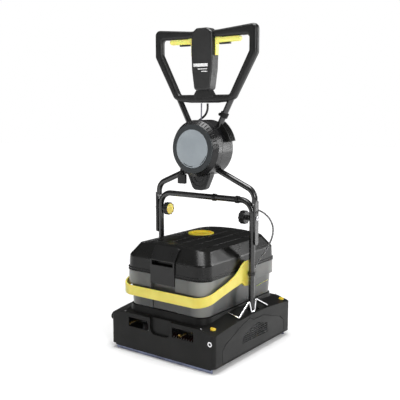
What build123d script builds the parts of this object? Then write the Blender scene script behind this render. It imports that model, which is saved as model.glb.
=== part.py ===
"""Walk-behind twin-roller floor scrubber with a folding handle and a cable reel.

Millimetres. Origin: centre of the base's footprint, on the floor. +Z is up, the machine's front
is -Y and its right-hand side is +X. Each node below is written to parts/NODE.step.
"""

from build123d import *
import os
from math import cos, pi, radians, sin, sqrt, tan

# ---------------------------------------------------------------- driving dimensions
GAP = 0.3  # air between pieces that move against each other
FIT = 0.05  # radial clearance of a pin that turns in its hole

# base
BASE_HALF_X = 235.0
BASE_HALF_Y = 261.0
COVER_BOTTOM_Z = 20.0
DECK_FRONT_Z = 149.0
DECK_PEAK_Z = 169.5
DECK_REAR_Z = 152.0
DECK_PEAK_Y = 40.0
COVER_WALL = 4.0
COVER_SIDE_WALL = 6.0
COVER_CORNER_R = 14.0
PLINTH_HALF_X = BASE_HALF_X - 59.0
PLINTH_HALF_Y = BASE_HALF_Y - 27.0
FALL_START_X = PLINTH_HALF_X  # the deck slopes down outside this
FALL_RUN = BASE_HALF_X - PLINTH_HALF_X
FALL_DROP = 16.0
PLINTH_TOP_Z = 176.0
PLINTH_SLOPE = 6.0
SLOT_INNER_X = 54.0
SLOT_OUTER_X = 148.0
SLOT_LOW_Z = 99.0
SLOT_HIGH_Z = 134.0
TONGUE_HALF_X = 46.0
TONGUE_BOTTOM_Z = 90.0
TONGUE_DEPTH = 9.0
PANEL_THICK = 3.0
PANEL_GAP = 2.0  # open seam round each side panel
TRAY_LOW_Z = 115.0
TRAY_THICK = 4.0
TRAY_HALF_Y = BASE_HALF_Y - 56.0
CHEEK_X = BASE_HALF_X - 27.0
CHEEK_THICK = 6.0

# side panel and its grille, as (y, z) points, and its raised rings, as (y, z, radius)
LENGTHEN = BASE_HALF_Y / 261
PANEL = [(y * LENGTHEN, z) for y, z in (
    (-208, 26), (-211, 70), (-190, 89), (-128, 114), (-102, 125), (-36, 144),
    (-12, 131), (63, 130), (185, 92), (213, 70), (215, 26))]
GRILLE = ((-88, 58), (-85, 94), (20, 119), (93, 97), (94, 55))
GRILLE_RINGS = ((-7.0, 80.0, 25.0), (53.0, 90.0, 17.0))
SLAT_PITCH = 8.0
SLAT_OPEN = 4.5
RING_WIDTH = 3.5

# deck locks, nozzles and the wire catch
LOCK_R = 10.0
LOCK_STEM_R = 4.0
LOCK_HEIGHT = 8.0
LOCK_PLACES = ((BASE_HALF_X - 30, -BASE_HALF_Y + 36), (BASE_HALF_X - 22, BASE_HALF_Y - 29))
NOZZLE_PLACES = (-165.0, 74.0, 165.0)
NOZZLE_FRONT_Y = -BASE_HALF_Y + 12
NOZZLE_Z = 101.0
TOW_X = BASE_HALF_X - 19
TOW_Z = 106.0
TOW_R = 9.0
TOW_SOCKET_R = 5.0
BOSS_R = 14.0
BOSS_REACH = 4.0
WIRE_R = 3.0
CATCH_X = BASE_HALF_X - 6
CATCH_HINGE_Z = 157.8
CATCH_PEAK_Z = 204.0
CATCH_NOTCH_Z = 160.5
CATCH_TAIL = (CATCH_X - 43, 169.5)  # where both inward ends stop, (x, z)
CATCH_ROUTE = ((CATCH_TAIL[0], -100, CATCH_TAIL[1]), (CATCH_X, -100, CATCH_HINGE_Z),
               (CATCH_X, -32, CATCH_PEAK_Z), (CATCH_X, -17, CATCH_NOTCH_Z), (CATCH_X, 5, CATCH_NOTCH_Z),
               (CATCH_X, 12, CATCH_PEAK_Z), (CATCH_X, 99, CATCH_HINGE_Z), (CATCH_TAIL[0], 99, CATCH_TAIL[1]))

# brush rollers and squeegees
ROLLER_R = 42.0
ROLLER_CORE_R = 21.0
ROLLER_HALF_X = CHEEK_X - 8
ROLLER_Y = ROLLER_R + 10
ROLLER_Z = ROLLER_R + 1
ROLLER_FINS = 12
SHAFT_R = 6.0
BEARING_R = 14.0
DRIVE_TEETH = 18
DRIVE_WHEEL_R = 22.0
MOTOR_WHEEL_R = 9.0
BELT_THICK = 1.8
MOTOR_Y = 60.0
MOTOR_Z = 139.5
MOTOR_R = 20.0
LIP_THICK = 5.0
LIP_Y = BASE_HALF_Y - 14
LIP_HALF_X = BASE_HALF_X - 17
CARRIER_LOW_Z = 13.0
CARRIER_HIGH_Z = 32.0

# tank, lid and bail
TANK_HALF_X = PLINTH_HALF_X + 7
TANK_HALF_Y = PLINTH_HALF_Y + 9
TANK_BOTTOM_Z = 178.0
TANK_RIM_Z = 256.0
TANK_TOP_Z = 306.0
TANK_STEP = 7.0
TANK_DRAFT = 4.0
TANK_WALL = 3.0
TANK_CORNER_R = 45.0
LID_BOTTOM_Z = TANK_TOP_Z + GAP
LID_SHOULDER_Z = 360.0
LID_SHOULDER_R = 10.0
LID_CROWN_Z = 413.0
LID_CROWN_R = 930.0
LID_SLOPE = 0.625  # inward mm of each mm of height above the shoulder
LID_SLOPE_Y = 0.75
LID_WALL = 4.0
GROOVE_PITCH = 48.0
GROOVE_COUNT = 6
LATCH_HALF_X = 54.0
LATCH_THICK = 6.0
LATCH_BOTTOM_Z = 275.0
LATCH_HINGE_Y = -TANK_HALF_Y + 31
LATCH_HINGE_Z = 401.0
LATCH_PIN_R = 2.2
LATCH_PIN_REACH = 3.0  # how far each end stands out of the plate
FINGER_HALF_X = 48.0
CAP_X = -38.0
CAP_Y = 40.0
CAP_R = 50.0
CAP_NECK_R = 39.0
CAP_SEAT_Z = 404.7
CAP_TOP_Z = 415.0
CAP_SKIRT_Z = 399.0
BAIL_INNER_X = TANK_HALF_X + 8.5
BAIL_THICK = 6.0
BAIL_INNER_Y = TANK_HALF_Y + 9
BAIL_PIVOT_Y = 15.0
BAIL_PIVOT_Z = 290.0
BAIL_PIN_R = 6.0

# frame
FRAME_Y = 10.0
TUBE_R = 11.0
TUBE_BORE_R = TUBE_R - 2
LEG_X = BASE_HALF_X - 23
CROSSBAR_Z = 562.0
CROSSBAR_BEND_R = 48.0
TILT_Z = 143.0
LEG_END_Z = 129.0
TILT_PIN_R = 5.0
KNOB_Z = 500.0
BOLT_R = 4.0
PLATE_X = LEG_X + TUBE_R + 0.5
PLATE_THICK = 8.0
PLATE_LOW_Z = 402.0
UPPER_LEG_X = LEG_X + 9
SHOULDER_Z = 596.0
WAIST_X = 30.0
WAIST_LOW_Z = 678.0
WAIST_HIGH_Z = 760.0
TUBE_TOP_X = 122.0
TUBE_TOP_Z = 933.0
KNOB_R = 25.0
UPPER_BENDS = (45.0, 30.0, 60.0)
KNOB_LOBES = 10
KNOB_OUTER_GAP = 14.0  # from the leg to the grip's near face
KNOB_THICK = 21.0
KNOB_CAP_R = 21.0
KNOB_CAP_THICK = 5.0

# handle
HANDLE_HALF_X = 228.0
HANDLE_THICK = 28.0
HANDLE_EDGE_R = 11.0
GRIP_TOP_Z = 1172.0
HANDLE_TOP_Z = 1186.0
COLUMN_FRONT_Y = -13.0
COLUMN_REAR_Y = 33.0
COLUMN_BOTTOM_Z = 957.0
COLUMN_SHOULDER_Z = 1165.0
COLUMN_TOP_Z = 1181.0
COLUMN_WALL = 3.0
LEVER_PIVOT_X = 62.0
LEVER_PIVOT_Z = 1150.0
LEVER_HALF_Y = 8.0
LEVER_PIN_R = 2.5

# cable reel
REEL_Z = 745.0
REEL_R = 104.0
REEL_RING_R = REEL_R - 15
REEL_DISC_R = REEL_RING_R - 19
REEL_FRONT_Y = -70.0
REEL_CONE_REAR_Y = -48.0
REEL_SPLIT_Y = -25.0
REEL_REAR_Y = 56.0
REEL_WALL = 3.0
SPOOL_R = REEL_R - 20
SPOOL_CORE_R = 38.0
SPOOL_FRONT_Y = -60.0
SPOOL_REAR_Y = -8.0
AXLE_R = 10.0
VENT_COUNT = 21
VENT_STEP = 8.0  # degrees
# finger grooves as (start, end, mean radius), in degrees from +X
DISC_GROOVES = ((-126, -87, 65.5), (-57, -20, 66.5))
GROOVE_WIDTH = 3.0
FOOT_RINGS = (38.0, 23.0)
FOOT_CENTRE_Z = 640.0

# leads
LOOP_R = 3.25
THIN_LEAD_R = 2.5
POWER_LEAD_R = 4.0
PLUG_X = -76.0
PLUG_Y = -30.0
PLUG_PIN_R = 2.4
PLUG_PIN_LENGTH = 19.0
PLUG_PIN_PITCH = 19.0
PLUG_LOW_Z = 610.0
PLUG_HIGH_Z = 644.0
POWER_ROUTE = ((13, 10, 909), (13, 11, 888), (3, 13, 868), (-18, 15, 853), (-44, 15, 838))
LEAD_Y = FRAME_Y + TUBE_R + LOOP_R + 0.35
BEND_X = LEG_X - CROSSBAR_BEND_R
LOOP_START = (BEND_X + CROSSBAR_BEND_R / sqrt(2), LEAD_Y,
              CROSSBAR_Z - CROSSBAR_BEND_R * (1 - 1 / sqrt(2)))
LOOP_END_Z = 303.0
CROSSBAR_CLIPS = (46.0, 148.0)
LOOP_POINTS = ((4, 2.0, 531.5), (35, 7.4, 520), (60, 8.4, 500), (74, 8.4, 471), (72, 8.4, 441),
               (60, 8.4, 410), (38, 7.4, 372), (10, 4.4, 336))  # from the leg and LEAD_Y, at height z
LOOP_ROUTE = (LOOP_START, *[(LEG_X + x, LEAD_Y + y, z) for x, y, z in LOOP_POINTS],
              (LEG_X, LEAD_Y, LOOP_END_Z))


FAR = 1000.0  # reaches past the whole machine


# ---------------------------------------------------------------- shape helpers
def slab(x0, x1, y0, y1, z0, z1):
    """A box between two corners."""
    centre = Location(((x0 + x1) / 2, (y0 + y1) / 2, (z0 + z1) / 2))
    return centre * Box(abs(x1 - x0), abs(y1 - y0), abs(z1 - z0))


def rod(start, end, radius):
    """A round bar from start to end."""
    start, end = Vector(*start), Vector(*end)
    return Solid.make_cylinder(radius, (end - start).length, Plane(origin=start, z_dir=end - start))


def both_sides(piece):
    """The piece and its mirror image in the machine's middle plane."""
    return [piece, mirror(piece, about=Plane.YZ)]


def prism_x(outline, x0, x1):
    """A sketch in (y, z) as a solid from x0 to x1."""
    return extrude(Plane.YZ.offset(x0) * outline, amount=x1 - x0)


def prism_y(outline, y0, y1):
    """A sketch in (x, z) as a solid from y0 to y1."""
    plane = Plane(origin=(0, y1, 0), x_dir=(1, 0, 0), z_dir=(0, -1, 0))
    return extrude(plane * outline, amount=y1 - y0)


def polygon(*points):
    """A filled outline through the points."""
    return make_face(Polyline(*points, close=True))


def mirrored(points):
    """Half an outline, from the bottom up, completed by its mirror image in x = 0."""
    return polygon(*points, *[(-x, z) for x, z in reversed(points)])


def rounded_slab(half_x, half_y, z0, z1, radius, top_x=None, top_y=None):
    """A block with rounded upright corners, which may taper to another size at its top."""
    low = Plane.XY.offset(z0) * RectangleRounded(2 * half_x, 2 * half_y, radius)
    if top_x is None:
        return extrude(low, amount=z1 - z0)
    high = Plane.XY.offset(z1) * RectangleRounded(2 * top_x, 2 * top_y, radius)
    return loft([low, high], ruled=True)


def tube(points, radii, outer, bore=0.0):
    """A round bar or tube along straight runs joined by arcs."""
    path = FilletPolyline(*points, radius=radii)
    section = Circle(outer)
    if bore:
        section -= Circle(bore)
    return sweep(Plane(origin=path @ 0, z_dir=path % 0) * section, path=path)


def turned(profile, z):
    """A sketch of (radius, y) points turned about the reel's axis at height z."""
    outline = Plane(origin=(0, 0, z), x_dir=(1, 0, 0), z_dir=(0, 0, 1)) * profile
    return revolve(outline, Axis((0, 0, z), (0, 1, 0)), 360)


def washer(outer, inner, y0, y1, z):
    """A ring about the reel's axis."""
    return turned(polygon((inner, y0), (outer, y0), (outer, y1), (inner, y1)), z)


def soft_corners(points, share=0.45):
    """The largest gentle radius for each corner of a lead's route."""
    radii = []
    for a, b, c in zip(points, points[1:], points[2:]):
        run_in, run_out = Vector(*b) - Vector(*a), Vector(*c) - Vector(*b)
        half_turn = radians(run_in.get_angle(run_out)) / 2
        radii.append(share * min(run_in.length, run_out.length) / tan(half_turn))
    return radii


def save(node, *solids):
    """Writes one node as parts/NODE.step."""
    shapes = [s for item in solids for s in (item if isinstance(item, list) else [item])]
    loose = [solid for shape in shapes for solid in shape.solids()]
    piece = loose[0] if len(loose) == 1 else Compound(children=loose)
    export_step(piece, f"parts/{node}.step")
    return piece


# ---------------------------------------------------------------- base cover and its panels
def deck_arch(inset, overrun=0.0):
    """The deck's lengthwise arch in (y, z), and its two ends."""
    front = (-BASE_HALF_Y - overrun, DECK_FRONT_Z - inset)
    rear = (BASE_HALF_Y + overrun, DECK_REAR_Z - inset)
    return ThreePointArc(front, (DECK_PEAK_Y, DECK_PEAK_Z - inset), rear), front, rear


def deck_height(x, y):
    """Height of the deck's upper surface, good to about a millimetre."""
    front_rise, rear_rise = DECK_PEAK_Z - DECK_FRONT_Z, DECK_PEAK_Z - DECK_REAR_Z
    if y < DECK_PEAK_Y:
        drop = front_rise * ((y - DECK_PEAK_Y) / (BASE_HALF_Y + DECK_PEAK_Y)) ** 2
    else:
        drop = rear_rise * ((y - DECK_PEAK_Y) / (BASE_HALF_Y - DECK_PEAK_Y)) ** 2
    return DECK_PEAK_Z - drop - max(0.0, abs(x) - FALL_START_X) * FALL_DROP / FALL_RUN


def base_form(inset, half_x, low_z):
    """The base's outer form, drawn in by inset."""
    arch, front, rear = deck_arch(inset, overrun=2.0)
    below = Polyline(rear, (rear[0], low_z - 1), (front[0], low_z - 1), front)
    form = prism_x(make_face(arch.edges() + below.edges()), -half_x - 1, half_x + 1)
    top_z = DECK_PEAK_Z + BASE_HALF_X
    above = Polyline(rear, (rear[0], top_z), (front[0], top_z), front)
    sky = make_face(arch.edges() + above.edges())
    for side in (1, -1):
        start = Plane.YZ.offset(side * FALL_START_X) * sky
        form -= extrude(start, amount=2 * FALL_RUN, dir=(side * FALL_RUN, 0, -FALL_DROP))
    half_y = BASE_HALF_Y - inset
    corner_r = max(COVER_CORNER_R - inset, 1.0)
    form = form & rounded_slab(half_x, half_y, low_z, top_z, corner_r)
    tongue = slab(-TONGUE_HALF_X - inset, TONGUE_HALF_X + inset, -BASE_HALF_Y - 1,
                  -BASE_HALF_Y + TONGUE_DEPTH + inset, TONGUE_BOTTOM_Z - inset, top_z)
    low_edges = tongue.edges().filter_by(Axis.Y).group_by(Axis.Z)[0]
    return form - fillet(low_edges, TONGUE_HALF_X / 2)


def plinth(inset, low_z):
    """The raised seat that the tank stands in."""
    return rounded_slab(
        PLINTH_HALF_X + PLINTH_SLOPE - inset, PLINTH_HALF_Y + PLINTH_SLOPE - inset,
        low_z, PLINTH_TOP_Z - inset, TANK_CORNER_R,
        PLINTH_HALF_X - inset, PLINTH_HALF_Y - inset)


def panel_outline():
    """Side panel in (y, z): stepped up to a notch at its crown."""
    return polygon(*PANEL)


def base_cover():
    low = COVER_BOTTOM_Z
    cover = base_form(0.0, BASE_HALF_X, low) + plinth(0.0, DECK_FRONT_Z - 9)
    cavity = base_form(COVER_WALL, BASE_HALF_X - COVER_SIDE_WALL, low - 1)
    cavity += plinth(COVER_WALL, DECK_FRONT_Z - 9)
    cover -= cavity
    for side in (1, -1):
        slot = slab(side * SLOT_INNER_X, side * SLOT_OUTER_X, -BASE_HALF_Y - 1,
                    -BASE_HALF_Y + COVER_WALL + 1, SLOT_LOW_Z, SLOT_HIGH_Z)
        cover -= slot
        cover -= mirror(slot, about=Plane.XZ)
        rebate = offset(panel_outline(), amount=PANEL_GAP, kind=Kind.INTERSECTION)
        inner_x = BASE_HALF_X - PANEL_THICK
        cover -= prism_x(rebate, side * inner_x, side * (BASE_HALF_X + 1))
        cover -= prism_x(polygon(*GRILLE), side * (BASE_HALF_X - COVER_SIDE_WALL - 1), side * FAR)
        # slot for the frame's leg, long enough for it to lean back
        leg_slot_x = sorted((side * (LEG_X - TUBE_R - 2), side * (LEG_X + TUBE_R + 2)))
        cover -= slab(*leg_slot_x, FRAME_Y - TUBE_R - 3, FRAME_Y + TUBE_R + 26,
                      TRAY_LOW_Z + TRAY_THICK + 1, DECK_PEAK_Z + 10)
    for x, y in LOCK_PLACES:
        flat_z = deck_height(x, y) - 1
        cover -= rod((x, y, flat_z), (x, y, flat_z + 20), LOCK_R + 1.5)
        cover -= rod((x, y, flat_z - 30), (x, y, flat_z + 1), LOCK_STEM_R + FIT)
    return cover


def side_panel():
    """Right-hand panel with its grille of slats and two raised rings."""
    outer_x, inner_x = BASE_HALF_X, BASE_HALF_X - PANEL_THICK
    panel = prism_x(panel_outline(), inner_x, outer_x)
    window = offset(polygon(*GRILLE), amount=-4.0, kind=Kind.INTERSECTION)
    low_z, high_z = GRILLE[0][1], GRILLE[2][1]
    bars = Sketch()
    for row in range(int((high_z - low_z) / SLAT_PITCH)):
        z = low_z + SLAT_PITCH * (row + 0.5)
        bars += Pos(0, z) * Rectangle(FAR, SLAT_OPEN)
    openings = window & bars
    for y, z, radius in GRILLE_RINGS:
        openings -= Pos(y, z) * (Circle(radius) - Circle(radius - RING_WIDTH))
    return panel - prism_x(openings, inner_x - 1, outer_x + 1)


def turn_lock(x, y):
    """Yellow quarter-turn lock: a round head with a finger bar, and its stem."""
    seat_z = deck_height(x, y) - 1
    head = rod((x, y, seat_z + GAP), (x, y, seat_z + LOCK_HEIGHT - 3), LOCK_R)
    bar = slab(x - LOCK_R + 1.5, x + LOCK_R - 1.5, y - 2.5, y + 2.5, seat_z + 2, seat_z + LOCK_HEIGHT)
    return head + bar + rod((x, y, seat_z - 22), (x, y, seat_z + 1), LOCK_STEM_R)


# ---------------------------------------------------------------- chassis, rollers and squeegees
def chassis():
    """Tray across the base with a cheek down each side that carries the roller bearings."""
    inner_half = BASE_HALF_X - COVER_SIDE_WALL
    tray = slab(-inner_half, inner_half, -TRAY_HALF_Y, TRAY_HALF_Y, TRAY_LOW_Z,
                TRAY_LOW_Z + TRAY_THICK)
    for side in (1, -1):
        low_x, high_x = sorted((side * CHEEK_X - CHEEK_THICK / 2, side * CHEEK_X + CHEEK_THICK / 2))
        cheek_y = ROLLER_Y + ROLLER_R + 16
        cheek = slab(low_x, high_x, -cheek_y, cheek_y, ROLLER_Z - BEARING_R - 6, TRAY_LOW_Z)
        for y in (-ROLLER_Y, ROLLER_Y):
            cheek -= rod((low_x - 1, y, ROLLER_Z), (high_x + 1, y, ROLLER_Z), BEARING_R)
        tray += cheek
        # window for the belt
        belt_x = -(CHEEK_X + CHEEK_THICK / 2)
        half_width = MOTOR_WHEEL_R + 11
        belt_y = sorted((side * (MOTOR_Y - half_width), side * (MOTOR_Y + 16)))
        tray -= slab(belt_x - 14, belt_x - 2, *belt_y, TRAY_LOW_Z - 1, TRAY_LOW_Z + TRAY_THICK + 1)
    front_edge = slab(-inner_half, inner_half, -TRAY_HALF_Y, -TRAY_HALF_Y + 2, 96, TRAY_LOW_Z)
    return tray + front_edge


def roller_bearings():
    rings = []
    for side in (1, -1):
        for y in (-ROLLER_Y, ROLLER_Y):
            start = (side * (CHEEK_X - CHEEK_THICK / 2), y, ROLLER_Z)
            end = (side * (CHEEK_X + CHEEK_THICK / 2), y, ROLLER_Z)
            rings.append(rod(start, end, BEARING_R) - rod(start, end, SHAFT_R + FIT))
    return rings


def brush_roller(y):
    """Roller core with straight rows of bristles, each drawn as one solid fin."""
    outline = Circle(ROLLER_CORE_R)
    for fin in range(ROLLER_FINS):
        reach = ROLLER_R - ROLLER_CORE_R + 4
        row = Pos(ROLLER_R - reach / 2, 0) * Rectangle(reach, 6.0)
        outline += Rot(0, 0, fin * 360 / ROLLER_FINS) * row
    outline -= Circle(SHAFT_R)
    return prism_x(Pos(y, ROLLER_Z) * outline, -ROLLER_HALF_X, ROLLER_HALF_X)


def roller_shaft(y):
    """Steel shaft through the roller, with a toothed drive wheel on its left end."""
    end_x = CHEEK_X + CHEEK_THICK / 2
    shaft = rod((-end_x - 14, y, ROLLER_Z), (end_x + 3, y, ROLLER_Z), SHAFT_R)
    teeth = Circle(DRIVE_WHEEL_R - 2)
    for tooth in range(DRIVE_TEETH):
        teeth += Rot(0, 0, tooth * 360 / DRIVE_TEETH) * Pos(DRIVE_WHEEL_R - 2.6, 0) * Rectangle(5.0, 3.2)
    return shaft + prism_x(Pos(y, ROLLER_Z) * teeth, -end_x - 12, -end_x - 4)


def drive_belt(side):
    """Flat loop from a motor's wheel down to its roller's drive wheel."""
    left_x = -(CHEEK_X + CHEEK_THICK / 2)
    low, high = (side * ROLLER_Y, ROLLER_Z), (side * MOTOR_Y, MOTOR_Z)

    def loop(radius_low, radius_high):
        circles = (Pos(*low) * Circle(radius_low)).edges() + (Pos(*high) * Circle(radius_high)).edges()
        return make_hull(circles)

    grip = BELT_THICK + GAP
    band = loop(DRIVE_WHEEL_R + grip, MOTOR_WHEEL_R + grip)
    band -= loop(DRIVE_WHEEL_R + GAP, MOTOR_WHEEL_R + GAP)
    return prism_x(band, left_x - 12, left_x - 4)


def brush_motor(side):
    """Motor lying on the tray, with its output wheel outside the left cheek."""
    y = side * MOTOR_Y
    wheel_x = -(CHEEK_X + CHEEK_THICK / 2) - 12
    body = rod((-188, y, MOTOR_Z), (-40, y, MOTOR_Z), MOTOR_R)
    body += rod((-196, y, MOTOR_Z), (-188, y, MOTOR_Z), MOTOR_R - 8)
    foot = slab(-180, -60, y - 12, y + 12, TRAY_LOW_Z + TRAY_THICK, MOTOR_Z)
    shaft = rod((wheel_x, y, MOTOR_Z), (-190, y, MOTOR_Z), 5.0)
    return body + foot + shaft + rod((wheel_x, y, MOTOR_Z), (wheel_x + 8, y, MOTOR_Z), MOTOR_WHEEL_R)


def suction_turbine():
    """Round blower housing with its outlet stub."""
    base_z = TRAY_LOW_Z + TRAY_THICK
    housing = rod((95, -5, base_z), (95, -5, base_z + 34), 62)
    housing += rod((95, -5, base_z + 34), (95, -5, base_z + 42), 34)
    return housing + slab(95, 165, 32, 57, base_z, base_z + 28)


def water_pump():
    base_z = TRAY_LOW_Z + TRAY_THICK
    pump = slab(-120, -60, -175, -130, base_z, base_z + 28)
    return pump + rod((-60, -152, base_z + 14), (-30, -152, base_z + 14), 9)


def spray_nozzles():
    """Brass nozzles that wet the floor, carried by the tray's front edge."""
    nozzles = []
    for x in NOZZLE_PLACES:
        stem = rod((x, -TRAY_HALF_Y, NOZZLE_Z), (x, NOZZLE_FRONT_Y, NOZZLE_Z), 3.5)
        tip = rod((x, NOZZLE_FRONT_Y + 12, NOZZLE_Z), (x, NOZZLE_FRONT_Y + 4, NOZZLE_Z), 6.0)
        nozzles.append(stem + tip)
    return nozzles


def squeegee_carriers():
    carriers = []
    for side in (-1, 1):
        wall_y = side * (BASE_HALF_Y - COVER_WALL)
        bar = slab(-LIP_HALF_X, LIP_HALF_X, *sorted((wall_y, side * (LIP_Y - 7))),
                   CARRIER_LOW_Z, CARRIER_HIGH_Z)
        carriers.append(bar)
    return carriers


def squeegee_lips():
    lips = []
    for side in (-1, 1):
        y_range = sorted((side * (LIP_Y - LIP_THICK / 2), side * (LIP_Y + LIP_THICK / 2)))
        lips.append(slab(-LIP_HALF_X, LIP_HALF_X, *y_range, 0.0, CARRIER_LOW_Z))
    return lips


def leg_brackets():
    """Two plates beside each leg's foot, joined by the pivot pin through the leg."""
    brackets = []
    low_z = TRAY_LOW_Z + TRAY_THICK
    for side in (1, -1):
        plates = []
        for offset_x in (-TUBE_R - 3.5, TUBE_R + 0.5):
            x0, x1 = sorted((side * (LEG_X + offset_x), side * (LEG_X + offset_x + 3.0)))
            plates.append(slab(x0, x1, FRAME_Y - 18, FRAME_Y + 18, low_z, TILT_Z + 4))
        pin = rod((side * (LEG_X - TUBE_R - 3.5), FRAME_Y, TILT_Z),
                  (side * (LEG_X + TUBE_R + 3.5), FRAME_Y, TILT_Z), TILT_PIN_R)
        brackets.append(plates[0] + plates[1] + pin)
    return brackets


def corner_boss():
    """Round rubber buffer on the left side at the front corner."""
    y, z = -BASE_HALF_Y + BOSS_R + 4, 118.0
    return rod((-BASE_HALF_X - BOSS_REACH, y, z), (-BASE_HALF_X, y, z), BOSS_R)


def deck_screws():
    screws = []
    for x in (-170, 175):
        for y in (-BASE_HALF_Y + 8, BASE_HALF_Y - 8):
            z = deck_height(x, y)
            screws.append(rod((x, y, z - 1), (x, y, z + 2), 3.5))
    return screws


def tow_bolts():
    """Chrome ring-headed bolts, front right and rear left, each with a deep socket."""
    bolts = []
    for side in (-1, 1):
        x, face_y = -side * TOW_X, side * BASE_HALF_Y
        inner_y = side * (BASE_HALF_Y - COVER_WALL)
        head = rod((x, inner_y, TOW_Z), (x, face_y - side * 0.5, TOW_Z), TOW_R)
        bolts.append(head - rod((x, inner_y + side, TOW_Z), (x, face_y + side, TOW_Z), TOW_SOCKET_R))
    return bolts


def tow_bolt_holes():
    return [rod((-side * TOW_X, side * (BASE_HALF_Y - COVER_WALL - 1), TOW_Z),
                (-side * TOW_X, side * (BASE_HALF_Y + 1), TOW_Z), TOW_R) for side in (-1, 1)]


def wire_catch():
    """Bent spring wire that hooks round the right leg to park the frame upright."""
    return tube(CATCH_ROUTE, 6.0, WIRE_R)


# ---------------------------------------------------------------- tank, lid, latch, cap and bail
def tank_form(inset, low_z, step_z, high_z):
    """Lower body up to step_z and the wider rim band above it."""
    low_x, low_y = TANK_HALF_X - TANK_STEP - inset, TANK_HALF_Y - TANK_STEP - inset
    radius = TANK_CORNER_R - inset
    body = rounded_slab(low_x - TANK_DRAFT, low_y - TANK_DRAFT, low_z, step_z, radius, low_x, low_y)
    return body + rounded_slab(TANK_HALF_X - inset, TANK_HALF_Y - inset, step_z, high_z, radius)


def latch_recess(grow, low_z, high_z):
    """The upright channel in the tank's front that the latch hangs in."""
    half_x = LATCH_HALF_X + 1 + grow
    depth = TANK_STEP + TANK_DRAFT + 3 + grow
    return slab(-half_x, half_x, -TANK_HALF_Y - 1, -TANK_HALF_Y + depth, low_z, high_z)


def fresh_tank():
    outer = tank_form(0.0, TANK_BOTTOM_Z, TANK_RIM_Z, TANK_TOP_Z)
    outer -= latch_recess(0.0, TANK_BOTTOM_Z - 1, TANK_TOP_Z + 1)
    inner = tank_form(TANK_WALL, TANK_BOTTOM_Z + TANK_WALL, TANK_RIM_Z + TANK_WALL, TANK_TOP_Z + 1)
    inner -= latch_recess(TANK_WALL, TANK_BOTTOM_Z, TANK_TOP_Z + 2)
    return outer - inner


def dirty_tank():
    """Recovery tub hanging inside the fresh-water tank by its flange."""
    half_x, half_y, wall = TANK_HALF_X - 33, TANK_HALF_Y - 53, 2.5
    low_z, high_z = TANK_BOTTOM_Z + 18, TANK_TOP_Z - 5
    tub = rounded_slab(half_x, half_y, low_z, high_z, 30)
    tub += rounded_slab(half_x + 14, half_y + 14, high_z - wall, high_z, 40)
    for x in (-1, 1):
        x0, x1 = sorted((x * (half_x + 5), x * (TANK_HALF_X - TANK_WALL)))
        tub += slab(x0, x1, -60, 60, high_z - wall, high_z)
    return tub - rounded_slab(half_x - wall, half_y - wall, low_z + wall, high_z + 1, 30 - wall)


def bail_pivots():
    pins = []
    for side in (1, -1):
        shank = rod((side * TANK_HALF_X, BAIL_PIVOT_Y, BAIL_PIVOT_Z),
                    (side * (BAIL_INNER_X + BAIL_THICK), BAIL_PIVOT_Y, BAIL_PIVOT_Z), BAIL_PIN_R)
        collar = rod((side * TANK_HALF_X, BAIL_PIVOT_Y, BAIL_PIVOT_Z),
                     (side * (BAIL_INNER_X - GAP), BAIL_PIVOT_Y, BAIL_PIVOT_Z), 13)
        pins.append(shank + collar)
    return pins


def lid_form(inset):
    """Near-vertical sides, then a broad slope in to a crowned top."""
    grow = 2.0
    flank_x, flank_y = TANK_HALF_X - 3 - inset, TANK_HALF_Y - 3 - inset
    radius = TANK_CORNER_R - inset
    rise = LID_CROWN_Z + 6 - LID_SHOULDER_Z
    top_x, top_y = flank_x - LID_SLOPE * rise, flank_y - LID_SLOPE_Y * rise
    sides = rounded_slab(flank_x + grow, flank_y + grow, LID_BOTTOM_Z - (1 if inset else 0),
                         LID_SHOULDER_Z - inset / 2, radius, flank_x, flank_y)
    low_z, high_z = LID_SHOULDER_Z - inset / 2, LID_CROWN_Z + 6 - inset / 2
    slope = rounded_slab(flank_x, flank_y, low_z, high_z, radius, top_x, top_y)
    crown = Pos(0, LID_CROWN_Z - inset - LID_CROWN_R) * Circle(LID_CROWN_R)
    return (sides + slope) & prism_y(crown, -FAR, FAR)


def crown_height(x):
    return LID_CROWN_Z - LID_CROWN_R + sqrt(LID_CROWN_R**2 - x**2)


def latch_outline(grow):
    """Latch plate's profile in (y, z): upright, then leaning back with the lid's slope."""
    face_y = -TANK_HALF_Y - 3 - grow
    back_y = face_y + LATCH_THICK + 2 * grow
    return polygon((face_y, LATCH_BOTTOM_Z - grow), (face_y, LID_SHOULDER_Z + 2),
                   (LATCH_HINGE_Y - 3 - grow, LATCH_HINGE_Z + 6 + grow),
                   (LATCH_HINGE_Y + 4 + grow, LATCH_HINGE_Z + 3 + grow),
                   (back_y, LID_SHOULDER_Z - 1), (back_y, LATCH_BOTTOM_Z - grow))


def latch_pin(clearance):
    """The latch's hinge pin, or with a clearance the hole that each end turns in."""
    reach = LATCH_HALF_X + LATCH_PIN_REACH + clearance
    return rod((-reach, LATCH_HINGE_Y, LATCH_HINGE_Z), (reach, LATCH_HINGE_Y, LATCH_HINGE_Z),
               LATCH_PIN_R + clearance)


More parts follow.
